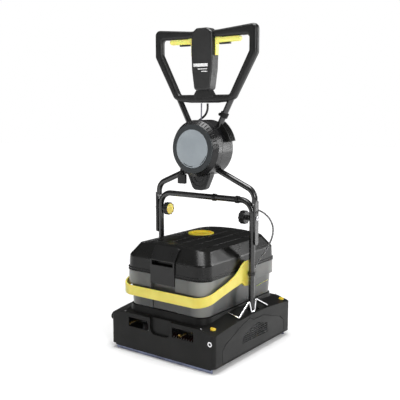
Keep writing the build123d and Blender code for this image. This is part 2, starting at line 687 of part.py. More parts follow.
def tank_lid():
    lid = lid_form(0.0)
    shoulder = [edge for edge in lid.edges() if abs(edge.center().Z - LID_SHOULDER_Z) < 0.5
                and edge.bounding_box().size.Z < 0.5]
    lid = fillet(shoulder, LID_SHOULDER_R)
    # two thin ribs round the foot of the lid
    for z in (LID_BOTTOM_Z, LID_BOTTOM_Z + 8):
        lid += rounded_slab(TANK_HALF_X + 1.5, TANK_HALF_Y + 1.5, z, z + 3, TANK_CORNER_R)
    pocket = slab(-FINGER_HALF_X - 4, FINGER_HALF_X + 4, -TANK_HALF_Y - 5, -TANK_HALF_Y + 18, 337, 366)
    pocket_wall = slab(-FINGER_HALF_X - 8, FINGER_HALF_X + 8, -TANK_HALF_Y - 5, -TANK_HALF_Y + 22, 333, 370)
    latch_room = prism_x(latch_outline(0.8), -LATCH_HALF_X - 0.8, LATCH_HALF_X + 0.8)
    latch_wall = prism_x(latch_outline(LID_WALL), -LATCH_HALF_X - LID_WALL, LATCH_HALF_X + LID_WALL)
    cavity = lid_form(LID_WALL) - pocket_wall - latch_wall
    # the cap sits in a shallow well, so the shell dips under it
    cavity -= rod((CAP_X, CAP_Y, CAP_SEAT_Z - LID_WALL), (CAP_X, CAP_Y, LID_CROWN_Z), CAP_R + 1 + LID_WALL)
    lid -= cavity
    lid -= latch_room
    lid -= latch_pin(FIT)
    lid -= pocket
    lid -= rod((CAP_X, CAP_Y, CAP_SEAT_Z), (CAP_X, CAP_Y, CAP_TOP_Z), CAP_R + 1)
    lid -= rod((CAP_X, CAP_Y, LID_SHOULDER_Z), (CAP_X, CAP_Y, CAP_TOP_Z), CAP_NECK_R)
    half_length = TANK_HALF_Y - 38
    for groove in range(GROOVE_COUNT):
        x = (groove - (GROOVE_COUNT - 1) / 2) * GROOVE_PITCH
        z = crown_height(x)
        lid -= slab(x - 2, x + 2, -half_length, half_length, z - 2, z + 3)
    return lid


def lid_seal():
    """Rubber ring under the lid, inside the tank's rim."""
    outer = rounded_slab(TANK_HALF_X - TANK_WALL - 1, TANK_HALF_Y - TANK_WALL - 1, TANK_TOP_Z - 4,
                         LID_BOTTOM_Z, TANK_CORNER_R - TANK_WALL - 1)
    inner = rounded_slab(TANK_HALF_X - 12, TANK_HALF_Y - 12, TANK_TOP_Z - 5, LID_BOTTOM_Z + 1,
                         TANK_CORNER_R - 12)
    recess = LATCH_HALF_X + 5
    latch_gap = slab(-recess, recess, -TANK_HALF_Y, -TANK_HALF_Y + 20, TANK_TOP_Z - 5, LID_BOTTOM_Z + 1)
    return outer - inner - latch_gap


def lid_latch():
    plate = prism_x(latch_outline(0.0), -LATCH_HALF_X, LATCH_HALF_X)
    arch = Pos(0, LATCH_HINGE_Z - 88) * Circle(104)
    below = polygon((-FAR, 0), (FAR, 0), (FAR, LID_SHOULDER_Z), (-FAR, LID_SHOULDER_Z))
    keep = prism_y(arch + below, -FAR, 0)
    slot = slab(-FINGER_HALF_X, FINGER_HALF_X, -TANK_HALF_Y - 5, -TANK_HALF_Y + 6, 342, 359)
    return (plate & keep) + latch_pin(0.0) - slot


def filler_cap():
    """Round cap in its well, with a raised grip bar and a skirt that sits in the lid's neck."""
    low_z = CAP_SEAT_Z + GAP
    disc = rod((CAP_X, CAP_Y, low_z), (CAP_X, CAP_Y, CAP_TOP_Z), CAP_R)
    disc = fillet(disc.edges().group_by(Axis.Z)[-1], 3.0)
    disc -= rod((CAP_X, CAP_Y, CAP_TOP_Z - 4), (CAP_X, CAP_Y, CAP_TOP_Z + 1), CAP_R - 10)
    grip_x, grip_y = CAP_R - 8, 6.0
    disc += slab(CAP_X - grip_x, CAP_X + grip_x, CAP_Y - grip_y, CAP_Y + grip_y,
                 CAP_TOP_Z - 5, CAP_TOP_Z - 0.5)
    skirt = rod((CAP_X, CAP_Y, CAP_SKIRT_Z), (CAP_X, CAP_Y, low_z + 1), CAP_NECK_R - 0.5)
    return disc + (skirt - rod((CAP_X, CAP_Y, CAP_SKIRT_Z - 1), (CAP_X, CAP_Y, low_z), CAP_NECK_R - 4))


def carry_bail():
    """Flat yellow band: two arms widening to their pivot pads, and a front bar."""
    outer_x, outer_y = BAIL_INNER_X + BAIL_THICK, BAIL_INNER_Y + BAIL_THICK
    corner_r = TANK_CORNER_R + 8
    hoop = rounded_slab(outer_x, outer_y, 190, 360, corner_r + BAIL_THICK)
    hoop -= rounded_slab(BAIL_INNER_X, BAIL_INNER_Y, 189, 361, corner_r)
    tip_y = -outer_y - 4
    side = polygon((tip_y, 217), (-200, 235), (-154, 245), (-89, 257), (-31, 266), (-14, 252), (14, 247),
                   (40, 258), (50, 290), (44, 325), (20, 341), (-8, 341), (-30, 332), (-49, 316),
                   (-74, 301), (-122, 285), (-200, 268), (tip_y, 250))
    outline = fillet(side.vertices().filter_by(lambda v: v.X > -100), 5.0)
    bail = hoop & prism_x(outline, -outer_x - 1, outer_x + 1)
    for side_x in (1, -1):
        bail -= rod((side_x * BAIL_INNER_X - side_x, BAIL_PIVOT_Y, BAIL_PIVOT_Z),
                    (side_x * (outer_x + 1), BAIL_PIVOT_Y, BAIL_PIVOT_Z), BAIL_PIN_R + FIT)
    return bail


# ---------------------------------------------------------------- folding frame
def lower_frame():
    """One tube bent into an inverted U, with a pivot hole at each foot and a bolt hole above."""
    route = ((-LEG_X, FRAME_Y, LEG_END_Z), (-LEG_X, FRAME_Y, CROSSBAR_Z),
             (LEG_X, FRAME_Y, CROSSBAR_Z), (LEG_X, FRAME_Y, LEG_END_Z))
    frame = tube(route, CROSSBAR_BEND_R, TUBE_R, TUBE_BORE_R)
    for side in (1, -1):
        near, far = side * (LEG_X - 20), side * (LEG_X + 20)
        frame -= rod((near, FRAME_Y, TILT_Z), (far, FRAME_Y, TILT_Z), TILT_PIN_R + FIT)
        frame -= rod((near, FRAME_Y, KNOB_Z), (far, FRAME_Y, KNOB_Z), BOLT_R + FIT)
    return frame


def upper_route():
    """Right-hand upper tube: shoulder, waist, then out to the handle's lower corner."""
    # the leg starts where it clears the outside of the crossbar's bend
    beside = UPPER_LEG_X - TUBE_R - BEND_X
    above = sqrt((CROSSBAR_BEND_R + TUBE_R)**2 - beside**2)
    low_z = CROSSBAR_Z - CROSSBAR_BEND_R + above + 1.05
    return ((UPPER_LEG_X, FRAME_Y, low_z), (UPPER_LEG_X, FRAME_Y, SHOULDER_Z),
            (WAIST_X, FRAME_Y, WAIST_LOW_Z), (WAIST_X, FRAME_Y, WAIST_HIGH_Z),
            (TUBE_TOP_X, FRAME_Y, TUBE_TOP_Z))


def upper_tube():
    leg = tube(upper_route(), UPPER_BENDS, TUBE_R)
    plate = slab(PLATE_X, PLATE_X + PLATE_THICK, FRAME_Y - TUBE_R, FRAME_Y + TUBE_R, PLATE_LOW_Z, 562)
    plate = fillet(plate.edges().filter_by(Axis.X).group_by(Axis.Z)[0], TUBE_R - 1)
    piece = leg + plate
    return piece - rod((PLATE_X - 5, FRAME_Y, KNOB_Z), (PLATE_X + PLATE_THICK + 5, FRAME_Y, KNOB_Z), BOLT_R)


def tube_sleeve(clearance):
    """The space that both upper tubes need, for the pieces that they pass through."""
    return both_sides(tube(upper_route(), UPPER_BENDS, TUBE_R + clearance))


def clamp_bolt():
    """Right-hand hinge bolt with its domed head outside the plate."""
    face_x = PLATE_X + PLATE_THICK
    shank = rod((LEG_X - TUBE_R - 22, FRAME_Y, KNOB_Z), (face_x, FRAME_Y, KNOB_Z), BOLT_R)
    head = rod((face_x, FRAME_Y, KNOB_Z), (face_x + 3, FRAME_Y, KNOB_Z), 8.5)
    dome = Pos(face_x + 3, FRAME_Y, KNOB_Z) * Sphere(6.5)
    dome &= slab(face_x + 3, face_x + 20, -FAR, FAR, 0, FAR)
    return shank + head + dome


def knob_faces():
    """Inward and outward x of the right-hand knob's grip."""
    outer_x = LEG_X - TUBE_R - KNOB_OUTER_GAP
    return outer_x - KNOB_THICK, outer_x


def star_knob():
    """Right-hand knob: lobed grip turning on the bolt's inner end, with a well for its cover."""
    inner_x, outer_x = knob_faces()
    outline = Circle(KNOB_R - 2.5)
    for lobe in range(KNOB_LOBES):
        outline += Rot(0, 0, lobe * 360 / KNOB_LOBES) * Pos(KNOB_R - 5, 0) * Circle(5)
    grip = prism_x(Pos(FRAME_Y, KNOB_Z) * outline, inner_x, outer_x)
    boss = rod((outer_x, FRAME_Y, KNOB_Z), (LEG_X - TUBE_R - GAP, FRAME_Y, KNOB_Z), 9)
    bore = rod((LEG_X - TUBE_R - 23, FRAME_Y, KNOB_Z), (LEG_X, FRAME_Y, KNOB_Z), BOLT_R + FIT)
    well = rod((inner_x - 1, FRAME_Y, KNOB_Z), (inner_x + KNOB_CAP_THICK, FRAME_Y, KNOB_Z), KNOB_CAP_R)
    return grip + boss - bore - well


def knob_cap():
    """Right-hand knob's yellow cover, let into its inward face."""
    inner_x = knob_faces()[0]
    cap = rod((inner_x + KNOB_CAP_THICK, FRAME_Y, KNOB_Z), (inner_x, FRAME_Y, KNOB_Z), KNOB_CAP_R)
    return fillet(cap.edges().group_by(Axis.X)[0], 1.5)


# ---------------------------------------------------------------- handle, column and levers
def handle_frame():
    """Moulded loop: two grips, two uprights, a V and a lower cross member with its neck."""
    half = HANDLE_HALF_X
    outer = mirrored([(60, 911), (118, 916), (139, 928), (half, 1083), (half, HANDLE_TOP_Z),
                      (60, GRIP_TOP_Z)])
    outer = fillet(outer.vertices(), 20.0)
    inner = mirrored([(113, 941), (195, 1092), (195, 1146), (60, 1144)])
    inner = fillet(inner.vertices(), 12.0)
    y0, y1 = FRAME_Y - HANDLE_THICK / 2, FRAME_Y + HANDLE_THICK / 2
    loop = prism_y(outer - inner, y0, y1)
    front_back = loop.faces().filter_by(Axis.Y).edges()
    loop = fillet(front_back, HANDLE_EDGE_R)
    neck = prism_y(mirrored([(46, 930), (28, COLUMN_BOTTOM_Z)]), y0 - 2, y1 + 2)
    loop += neck
    loop -= column_form(-0.2)
    for piece in tube_sleeve(0.1):
        loop -= piece
    for side in (1, -1):
        channel = slab(side * 48, side * 164, FRAME_Y - LEVER_HALF_Y - 1, FRAME_Y + LEVER_HALF_Y + 1,
                       1138, LEVER_PIVOT_Z + 9)
        loop -= channel
        loop -= rod((side * LEVER_PIVOT_X, y0 + 3, LEVER_PIVOT_Z),
                    (side * LEVER_PIVOT_X, y1 - 3, LEVER_PIVOT_Z), LEVER_PIN_R)
    return loop


def column_form(inset):
    """Tapering column with a crowned top."""
    outline = mirrored([(34 - inset, COLUMN_BOTTOM_Z + inset), (45 - inset, 1030), (48 - inset, 1100),
                        (46 - inset, COLUMN_SHOULDER_Z - inset), (24 - inset, COLUMN_TOP_Z - inset)])
    outline = fillet(outline.vertices(), 12.0)
    return prism_y(outline, COLUMN_FRONT_Y + inset, COLUMN_REAR_Y - inset)


def column_half(front):
    form = column_form(0.0)
    face = form.faces().sort_by(Axis.Y)[0 if front else -1]
    form = fillet(face.edges(), 7.0)
    form -= column_form(COLUMN_WALL)
    y_range = (-FAR, FRAME_Y) if front else (FRAME_Y, FAR)
    return form & slab(-FAR, FAR, *y_range, 0, 2 * FAR)


def hand_switch():
    """Switch block inside the column, worked by the levers."""
    return slab(-22, 22, -4, FRAME_Y + 14, 1100, 1140)


def hand_lever():
    """Right-hand lever under the grip, with a tail down the column's side."""
    y0, y1 = FRAME_Y - LEVER_HALF_Y, FRAME_Y + LEVER_HALF_Y
    blade = polygon((50.5, 1128), (62, 1125), (150, 1127), (157, 1133), (157, 1141), (152, 1145),
                    (70, 1144), (68, 1155), (56, 1155), (50.5, 1144))
    lever = prism_y(blade, y0, y1)
    lever += prism_y(polygon((50.5, 1132), (50.5, 1082), (56, 1082), (57, 1120), (66, 1132)), y0, y1)
    return lever - rod((LEVER_PIVOT_X, y0 - 1, LEVER_PIVOT_Z), (LEVER_PIVOT_X, y1 + 1, LEVER_PIVOT_Z),
                       LEVER_PIN_R + FIT)


def lever_pins():
    inset = HANDLE_THICK / 2 - 3
    pin = rod((LEVER_PIVOT_X, FRAME_Y - inset, LEVER_PIVOT_Z),
              (LEVER_PIVOT_X, FRAME_Y + inset, LEVER_PIVOT_Z), LEVER_PIN_R)
    return both_sides(pin)


# ---------------------------------------------------------------- cable reel
def reel_ring():
    front = REEL_FRONT_Y
    ring = polygon((REEL_DISC_R + GAP, front), (REEL_RING_R, front), (REEL_RING_R, front + 6),
                   (REEL_DISC_R - 10, front + 6), (REEL_DISC_R - 10, front + 4.5),
                   (REEL_DISC_R + GAP, front + 4.5))
    return turned(ring, REEL_Z)


def sector(start, end, radius):
    """Wedge of the reel's face between two angles, in (x, z)."""
    angles = [radians(start + (end - start) * step / 4) for step in range(5)]
    return polygon((0, REEL_Z), *[(radius * cos(a), REEL_Z + radius * sin(a)) for a in angles])


def reel_disc():
    """Pale cover disc with two curved finger grooves."""
    front = REEL_FRONT_Y
    disc = washer(REEL_DISC_R, 0, front - 1, front + 4.5, REEL_Z)
    for start, end, middle in DISC_GROOVES:
        arc = washer(middle + GROOVE_WIDTH / 2, middle - GROOVE_WIDTH / 2, front - 2, front + 1, REEL_Z)
        disc -= arc & prism_y(sector(start, end, REEL_R), front - 5, front + 5)
    return disc


def reel_shell():
    """Front housing: a cone with radial vents, then a plain band."""
    front = REEL_FRONT_Y + 6
    wall = REEL_WALL
    profile = polygon((REEL_RING_R, front), (REEL_R, REEL_CONE_REAR_Y), (REEL_R, REEL_SPLIT_Y),
                      (REEL_R - wall, REEL_SPLIT_Y), (REEL_R - wall, REEL_CONE_REAR_Y + 1),
                      (REEL_RING_R - wall, front))
    shell = turned(profile, REEL_Z)
    for vent in range(VENT_COUNT):
        angle = (vent - (VENT_COUNT - 1) / 2) * VENT_STEP
        slot = slab(-1.4, 1.4, front + 3, REEL_CONE_REAR_Y - 3, REEL_RING_R - 8, REEL_R + 2)
        shell -= Pos(0, 0, REEL_Z) * Rot(0, angle, 0) * slot
    return shell


def reel_rear_shell():
    """Rear dish that holds the axle and is threaded by both upper tubes."""
    wall = REEL_WALL
    profile = polygon((REEL_R, REEL_SPLIT_Y + 1), (REEL_R, REEL_REAR_Y - 12), (REEL_R - 10, REEL_REAR_Y),
                      (0, REEL_REAR_Y), (0, REEL_REAR_Y - wall), (REEL_R - 11, REEL_REAR_Y - wall),
                      (REEL_R - wall, REEL_REAR_Y - 13), (REEL_R - wall, REEL_SPLIT_Y + 1))
    shell = turned(profile, REEL_Z)
    for piece in tube_sleeve(0.4):
        shell -= piece
    return shell


def spool_axle():
    return rod((0, SPOOL_FRONT_Y - 1, REEL_Z), (0, REEL_REAR_Y - REEL_WALL, REEL_Z), AXLE_R)


def spool():
    core = washer(SPOOL_CORE_R, AXLE_R + FIT, SPOOL_FRONT_Y, SPOOL_REAR_Y, REEL_Z)
    for y0 in (SPOOL_FRONT_Y, SPOOL_REAR_Y - 3):
        core += washer(SPOOL_R, AXLE_R + FIT, y0, y0 + 3, REEL_Z)
    return core


def wound_cord():
    """The mains cord wound on the spool, as one closed ring."""
    return washer(SPOOL_R - 4, SPOOL_CORE_R, SPOOL_FRONT_Y + 3, SPOOL_REAR_Y - 3, REEL_Z)


def reel_foot():
    """Rounded bracket below the reel, with two raised rings."""
    front, rear = -27.0, FRAME_Y - TUBE_R - 0.3
    outline = mirrored([(26, 589), (50, 642), (57, 672)])
    outline = fillet(outline.vertices().group_by(Axis.Y)[0], 24.0)
    foot = prism_y(outline, front, rear)
    for outer in FOOT_RINGS:
        ring = washer(outer, outer - 3, front - 2, front, FOOT_CENTRE_Z)
        foot += ring & prism_y(outline, front - 3, front)
    return foot - rod((0, -FAR, REEL_Z), (0, FAR, REEL_Z), REEL_R + 0.2)


def cord_guide():
    """Ribbed clamp on the reel's upper right, and the strap clip on the tube above it."""
    inner, outer = REEL_R + 0.2, REEL_R + 17
    guide = washer(outer, inner, 2, 40, REEL_Z) & prism_y(sector(14, 54, outer + 30), 0, 50)
    for y0 in (9, 18, 27):
        guide -= washer(outer + 1, outer - 4, y0, y0 + 4, REEL_Z)
    for piece in tube_sleeve(0.3):
        guide -= piece
    run = Vector(TUBE_TOP_X - WAIST_X, 0, TUBE_TOP_Z - WAIST_HIGH_Z).normalized()
    middle = Vector(WAIST_X, FRAME_Y, WAIST_HIGH_Z) + run * 122
    clip = rod(tuple(middle - run * 8), tuple(middle + run * 8), TUBE_R + 4.5)
    clip += rod(tuple(middle + Vector(-16, -6, 2)), tuple(middle + Vector(-16, 8, 2)), 6)
    return [guide, clip - tube_sleeve(0.1)[0]]


def plug_body():
    """Two-pin plug hanging by its tapered boot from the reel."""
    body = slab(PLUG_X - 18, PLUG_X + 18, PLUG_Y - 9, PLUG_Y + 9, PLUG_LOW_Z, PLUG_HIGH_Z)
    body = fillet(body.edges().filter_by(Axis.Z), 6.0)
    boot = Solid.make_cone(9.0, 5.0, 46.0, Plane((PLUG_X, PLUG_Y, PLUG_HIGH_Z)))
    return body + boot - rod((0, -FAR, REEL_Z), (0, FAR, REEL_Z), REEL_R + 0.1)


def plug_pins():
    low_z = PLUG_LOW_Z - PLUG_PIN_LENGTH
    return [rod((x, PLUG_Y, low_z), (x, PLUG_Y, PLUG_LOW_Z), PLUG_PIN_R)
            for x in (PLUG_X - PLUG_PIN_PITCH / 2, PLUG_X + PLUG_PIN_PITCH / 2)]


# ---------------------------------------------------------------- leads
def control_lead():
    """Thin straight lead from the handle's cross member to the top of the reel."""
    lead = rod((-12, FRAME_Y - 4, 909), (3, -16, REEL_Z + REEL_R - 1), THIN_LEAD_R)
    return lead - rod((0, -FAR, REEL_Z), (0, FAR, REEL_Z), REEL_R + 0.1)


def power_lead():
    """Thicker lead that curves from the cross member down into the rear shell."""
    lead = tube(POWER_ROUTE, soft_corners(POWER_ROUTE), POWER_LEAD_R)
    return lead - rod((0, -FAR, REEL_Z), (0, FAR, REEL_Z), REEL_R + 0.1)


def crossbar_lead():
    """Lead clipped along the back of the crossbar and round the start of its bend."""
    run = Line((30, LEAD_Y, CROSSBAR_Z), (BEND_X, LEAD_Y, CROSSBAR_Z))
    middle = (BEND_X + CROSSBAR_BEND_R * sin(pi / 8), LEAD_Y,
              CROSSBAR_Z - CROSSBAR_BEND_R * (1 - cos(pi / 8)))
    path = run + ThreePointArc(run @ 1, middle, LOOP_START)
    return sweep(Plane(origin=path @ 0, z_dir=path % 0) * Circle(LOOP_R), path=path)


def loop_lead():
    """Free loop of lead from the top of the right leg back to the leg lower down."""
    radii = soft_corners(LOOP_ROUTE)
    print("loop lead radii", [round(r, 1) for r in radii])
    lead = tube(LOOP_ROUTE, radii, LOOP_R)
    length = FilletPolyline(*LOOP_ROUTE, radius=radii).length
    ratio = lead.volume / (pi * LOOP_R**2 * length)
    print("loop lead length", round(length), "volume ratio", round(ratio, 4))
    return lead


def lead_clip(centre, along):
    """Clip round a frame tube with a saddle behind it that holds the lead."""
    centre, along = Vector(*centre), Vector(*along).normalized()
    start, end = centre - along * 6, centre + along * 6
    clip = rod(tuple(start), tuple(end), TUBE_R + 3)
    back = Vector(0, LEAD_Y - FRAME_Y, 0)
    clip += rod(tuple(start + back), tuple(end + back), LOOP_R + 2.5)
    clip -= rod(tuple(start - along), tuple(end + along), TUBE_R + 0.1)
    return clip - rod(tuple(start + back - along), tuple(end + back + along), LOOP_R + 0.1)


def lead_clips():
    clips = [lead_clip((x, FRAME_Y, CROSSBAR_Z), (1, 0, 0)) for x in CROSSBAR_CLIPS]
    foot = lead_clip((LEG_X, FRAME_Y, LOOP_END_Z - 8), (0, 0, 1))
    foot += rod((LEG_X, LEAD_Y, LOOP_END_Z - 16), (LEG_X, LEAD_Y, LOOP_END_Z), LOOP_R + 2.5)
    foot -= rod((LEG_X, FRAME_Y, LOOP_END_Z - 20), (LEG_X, FRAME_Y, LOOP_END_Z + 5), TUBE_R + 0.1)
    return clips + [foot]


# ---------------------------------------------------------------- every node
def main():
    os.makedirs("parts", exist_ok=True)
    cover = base_cover()
    for hole in tow_bolt_holes():
        cover -= hole
    screws = deck_screws()
    for screw in screws:
        cover -= screw
    save("base_cover", cover)
    right_panel = side_panel()
    save("side_panel_right", right_panel)
    save("side_panel_left", mirror(right_panel, about=Plane.YZ))
    save("corner_boss", corner_boss())
    save("base_bolts", screws, tow_bolts())
    save("chassis", chassis())
    save("leg_brackets", leg_brackets())
    save("roller_bearings", roller_bearings())
    save("brush_motors", brush_motor(-1), brush_motor(1))
    save("drive_belts", drive_belt(-1), drive_belt(1))
    save("suction_turbine", suction_turbine())
    save("water_pump", water_pump())
    save("spray_nozzles", spray_nozzles())
    save("squeegee_carriers", squeegee_carriers())
    save("squeegee_lips", squeegee_lips())
    for end, y in (("front", -ROLLER_Y), ("rear", ROLLER_Y)):
        save(f"brush_roller_{end}", brush_roller(y))
        save(f"roller_shaft_{end}", roller_shaft(y))
    for end, place in zip(("front", "rear"), LOCK_PLACES):
        save(f"turn_lock_{end}", turn_lock(*place))
    save("wire_catch", wire_catch())
    save("fresh_tank", fresh_tank())
    save("dirty_tank", dirty_tank())
    save("bail_pivots", bail_pivots())
    save("tank_lid", tank_lid())
    save("lid_seal", lid_seal())
    save("lid_latch", lid_latch())
    save("filler_cap", filler_cap())
    save("carry_bail", carry_bail())
    save("lower_frame", lower_frame())
    save("lead_clips", lead_clips())
    save("crossbar_lead", crossbar_lead())
    save("loop_lead", loop_lead())
    save("upper_tubes", both_sides(upper_tube()))
    save("clamp_bolts", both_sides(clamp_bolt()))
    for name, piece in (("star_knob", star_knob()), ("knob_cap", knob_cap())):
        save(f"{name}_right", piece)
        save(f"{name}_left", mirror(piece, about=Plane.YZ))
    save("handle_frame", handle_frame())
    save("column_front", column_half(True))
    save("column_back", column_half(False))
    save("hand_switch", hand_switch())
    lever = hand_lever()
    save("hand_lever_right", lever)
    save("hand_lever_left", mirror(lever, about=Plane.YZ))
    save("lever_pins", lever_pins())
    save("reel_ring", reel_ring())
    save("reel_disc", reel_disc())
    save("reel_shell", reel_shell())
    save("reel_rear_shell", reel_rear_shell())
    save("spool_axle", spool_axle())
    save("spool", spool())
    save("wound_cord", wound_cord())
    save("reel_foot", reel_foot())
    save("cord_guide", cord_guide())
    save("plug_body", plug_body())
    save("plug_pins", plug_pins())
    save("control_lead", control_lead())
    save("power_lead", power_lead())


main()
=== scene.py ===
# %% [markdown]
# A walk-behind floor scrubber for hotel corridors: a low black base with two brush rollers,
# a smoky tank with a black lid, a tube frame, a cable reel and a V-shaped handle.
# The machine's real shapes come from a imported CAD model, which loads here as a fixed frame.
# Blender could also model every shape itself, but hinges and tubes are truer from CAD,
# so this lesson spends its time on finishes, light and the small pieces that CAD leaves out.

from math import cos, pi, radians, sin

import bpy
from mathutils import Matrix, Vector
from mathutils.bvhtree import BVHTree


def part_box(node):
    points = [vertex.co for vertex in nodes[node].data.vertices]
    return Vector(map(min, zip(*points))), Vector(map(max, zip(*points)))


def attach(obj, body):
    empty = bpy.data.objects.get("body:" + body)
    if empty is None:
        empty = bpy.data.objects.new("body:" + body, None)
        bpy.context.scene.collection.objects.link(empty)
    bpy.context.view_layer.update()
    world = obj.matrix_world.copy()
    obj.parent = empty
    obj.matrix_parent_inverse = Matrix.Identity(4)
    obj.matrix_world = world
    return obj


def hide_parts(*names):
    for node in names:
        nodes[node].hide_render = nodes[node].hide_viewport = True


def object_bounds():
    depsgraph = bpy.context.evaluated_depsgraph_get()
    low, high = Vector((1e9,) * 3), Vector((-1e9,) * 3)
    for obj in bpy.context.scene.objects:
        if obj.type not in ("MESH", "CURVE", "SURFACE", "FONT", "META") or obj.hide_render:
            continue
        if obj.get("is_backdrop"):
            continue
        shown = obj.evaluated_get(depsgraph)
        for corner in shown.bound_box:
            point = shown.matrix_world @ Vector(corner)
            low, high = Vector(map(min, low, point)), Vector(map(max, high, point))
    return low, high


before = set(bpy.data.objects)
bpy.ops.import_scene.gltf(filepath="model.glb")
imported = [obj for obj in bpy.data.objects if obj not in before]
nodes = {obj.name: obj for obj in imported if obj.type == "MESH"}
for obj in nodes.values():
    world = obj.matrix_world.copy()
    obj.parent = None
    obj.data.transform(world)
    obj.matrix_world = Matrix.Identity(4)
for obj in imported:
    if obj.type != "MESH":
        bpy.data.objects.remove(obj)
cad_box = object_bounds()
MM = 0.001
print("pieces from the CAD:", len(nodes))
print("box in metres:", [tuple(round(v, 3) for v in corner) for corner in cad_box])

# %% [markdown]
# The camera stands in front of the machine's right-hand corner at about chest height and
# looks slightly down. A camera can be aimed with a Track To constraint or by angles.
# Angles are used because they say plainly how far round and how far down it looks.

# %% Place the camera
CAMERA_PLACE = (1.4469, -2.0021, 0.8958)
CAMERA_ROUND = radians(36.33)
CAMERA_DOWN = radians(7.99)
CAMERA_LENS = 59.6  # on a 36 mm wide sensor
CAMERA_SHIFT = 0.0059

camera_data = bpy.data.cameras.new("corner_camera")
camera_data.sensor_width = 36.0
camera_data.lens = CAMERA_LENS
camera_data.shift_x = CAMERA_SHIFT
camera = bpy.data.objects.new("corner_camera", camera_data)
camera.location = CAMERA_PLACE
camera.rotation_euler = (pi / 2 - CAMERA_DOWN, 0.0, CAMERA_ROUND)
bpy.context.scene.collection.objects.link(camera)
bpy.context.scene.camera = camera
print("camera distance:", round(Vector(CAMERA_PLACE).length, 2), "m")

# %% [markdown]
# A finish is a tree of shader nodes. Writing the same ten lines for each one hides what
# differs, so a helper makes a node, sets its options and plugs in what feeds it.
# Each finish below is then a few lines that read like its recipe.

# %% Helpers for shader nodes
def node(tree, kind, feeds=None, **options):
    """A new shader node: options are its settings, feeds are values or sockets for its inputs."""
    made = tree.nodes.new("ShaderNode" + kind)
    for name, value in options.items():
        setattr(made, name, value)
    for socket, value in (feeds or {}).items():
        if isinstance(value, bpy.types.NodeSocket):
            tree.links.new(value, made.inputs[socket])
        else:
            made.inputs[socket].default_value = value
    return made


def new_finish(name, **sockets):
    """A material with its shader; sockets such as coat_weight are set on the shader itself."""
    finish = bpy.data.materials.new(name)
    finish.use_nodes = True
    shader = finish.node_tree.nodes["Principled BSDF"]
    for key, value in sockets.items():
        shader.inputs[key.replace("_", " ").title().replace("Ior", "IOR")].default_value = value
    return finish, finish.node_tree, shader


def speckle(tree, size, detail=3.0, stretch=(1, 1, 1)):
    """Cloudy noise whose blotches are about size metres across, longer along a small stretch."""
    place = node(tree, "TexCoord").outputs["Object"]
    spread = node(tree, "Mapping", {"Vector": place, "Scale": [s / size for s in stretch]})
    cloud = {"Vector": spread.outputs["Vector"], "Scale": 1.0, "Detail": detail}
    return node(tree, "TexNoise", cloud).outputs["Fac"]


def ramp(tree, amount, stops):
    """Colours along an amount: stops are (position, (r, g, b)) pairs."""
    made = node(tree, "ValToRGB", {"Fac": amount})
    elements = made.color_ramp.elements
    while len(elements) < len(stops):
        elements.new(0.5)
    for element, (position, colour) in zip(elements, stops):
        element.position = position
        element.color = (*colour, 1.0)
    return made.outputs["Color"]


def between(tree, amount, low, high, start=0.3, end=0.7):
    """The amount, stretched so that start gives low and end gives high."""
    feeds = {"Value": amount, "From Min": start, "From Max": end, "To Min": low, "To Max": high}
    return node(tree, "MapRange", feeds).outputs["Result"]


def times(tree, a, b):
    """Two amounts multiplied."""
    return node(tree, "Math", {0: a, 1: b}, operation="MULTIPLY").outputs["Value"]


def mixed(tree, amount, a, b):
    """Colour a where the amount is 0 and colour b where it is 1."""
    made = node(tree, "Mix", data_type="RGBA")
    for index, value in ((0, amount), (6, a), (7, b)):
        if isinstance(value, bpy.types.NodeSocket):
            tree.links.new(value, made.inputs[index])
        else:
            made.inputs[index].default_value = (*value, 1.0)
    return made.outputs[2]


def soft_edges(tree, radius):
    """(a normal that rounds each edge by radius, a mask that is 1 on the edges)."""
    rounded = node(tree, "Bevel", {"Radius": radius}, samples=4).outputs["Normal"]
    facing = node(tree, "NewGeometry").outputs["Normal"]
    same = node(tree, "VectorMath", {0: rounded, 1: facing}, operation="DOT_PRODUCT")
    return rounded, between(tree, same.outputs["Value"], 1.0, 0.0, 0.75, 0.985)


def relief(tree, height, depth, normal=None):
    """A bump of the height texture, depth metres deep, on top of another normal if given."""
    feeds = {"Height": height, "Distance": depth, "Strength": 1.0}
    if normal is not None:
        feeds["Normal"] = normal
    return node(tree, "Bump", feeds).outputs["Normal"]


print("shader helpers are ready")

# %% [markdown]
# Most of the machine is moulded plastic. Real moulded plastic is never one colour: the mould
# has a fine spark-eroded grain, handling polishes it in patches, and edges pale where they rub.
# One recipe covers all of that and takes the colours, the grain and the wear as its arguments.
# The edge mask comes from a Bevel node, which also catches light on each edge as a real radius.

# %% The moulded plastic recipe
def moulded(name, dark, light, rough, grain, depth, rub=(0.12, 0.12, 0.12), wear=0.35,
            edge=0.0012, patch=0.09, **sockets):
    """A moulded plastic from dark to light, rough = (low, high), with edges rubbed to rub."""
    finish, tree, shader = new_finish(name, **sockets)
    patches = speckle(tree, patch, detail=4.0)
    body = ramp(tree, patches, [(0.32, dark), (0.68, light)])
    rounded, edges = soft_edges(tree, edge)
    scuffs = between(tree, speckle(tree, 0.012, detail=5.0), 0.0, wear, 0.42, 0.75)
    worn = mixed(tree, times(tree, edges, scuffs), body, rub)
    tree.links.new(worn, shader.inputs["Base Color"])
    smears = speckle(tree, 0.05, detail=6.0, stretch=(1.0, 0.6, 1.4))
    tree.links.new(between(tree, smears, *rough), shader.inputs["Roughness"])
    fine = speckle(tree, grain, detail=2.0)
    tree.links.new(relief(tree, fine, depth, rounded), shader.inputs["Normal"])
    return finish


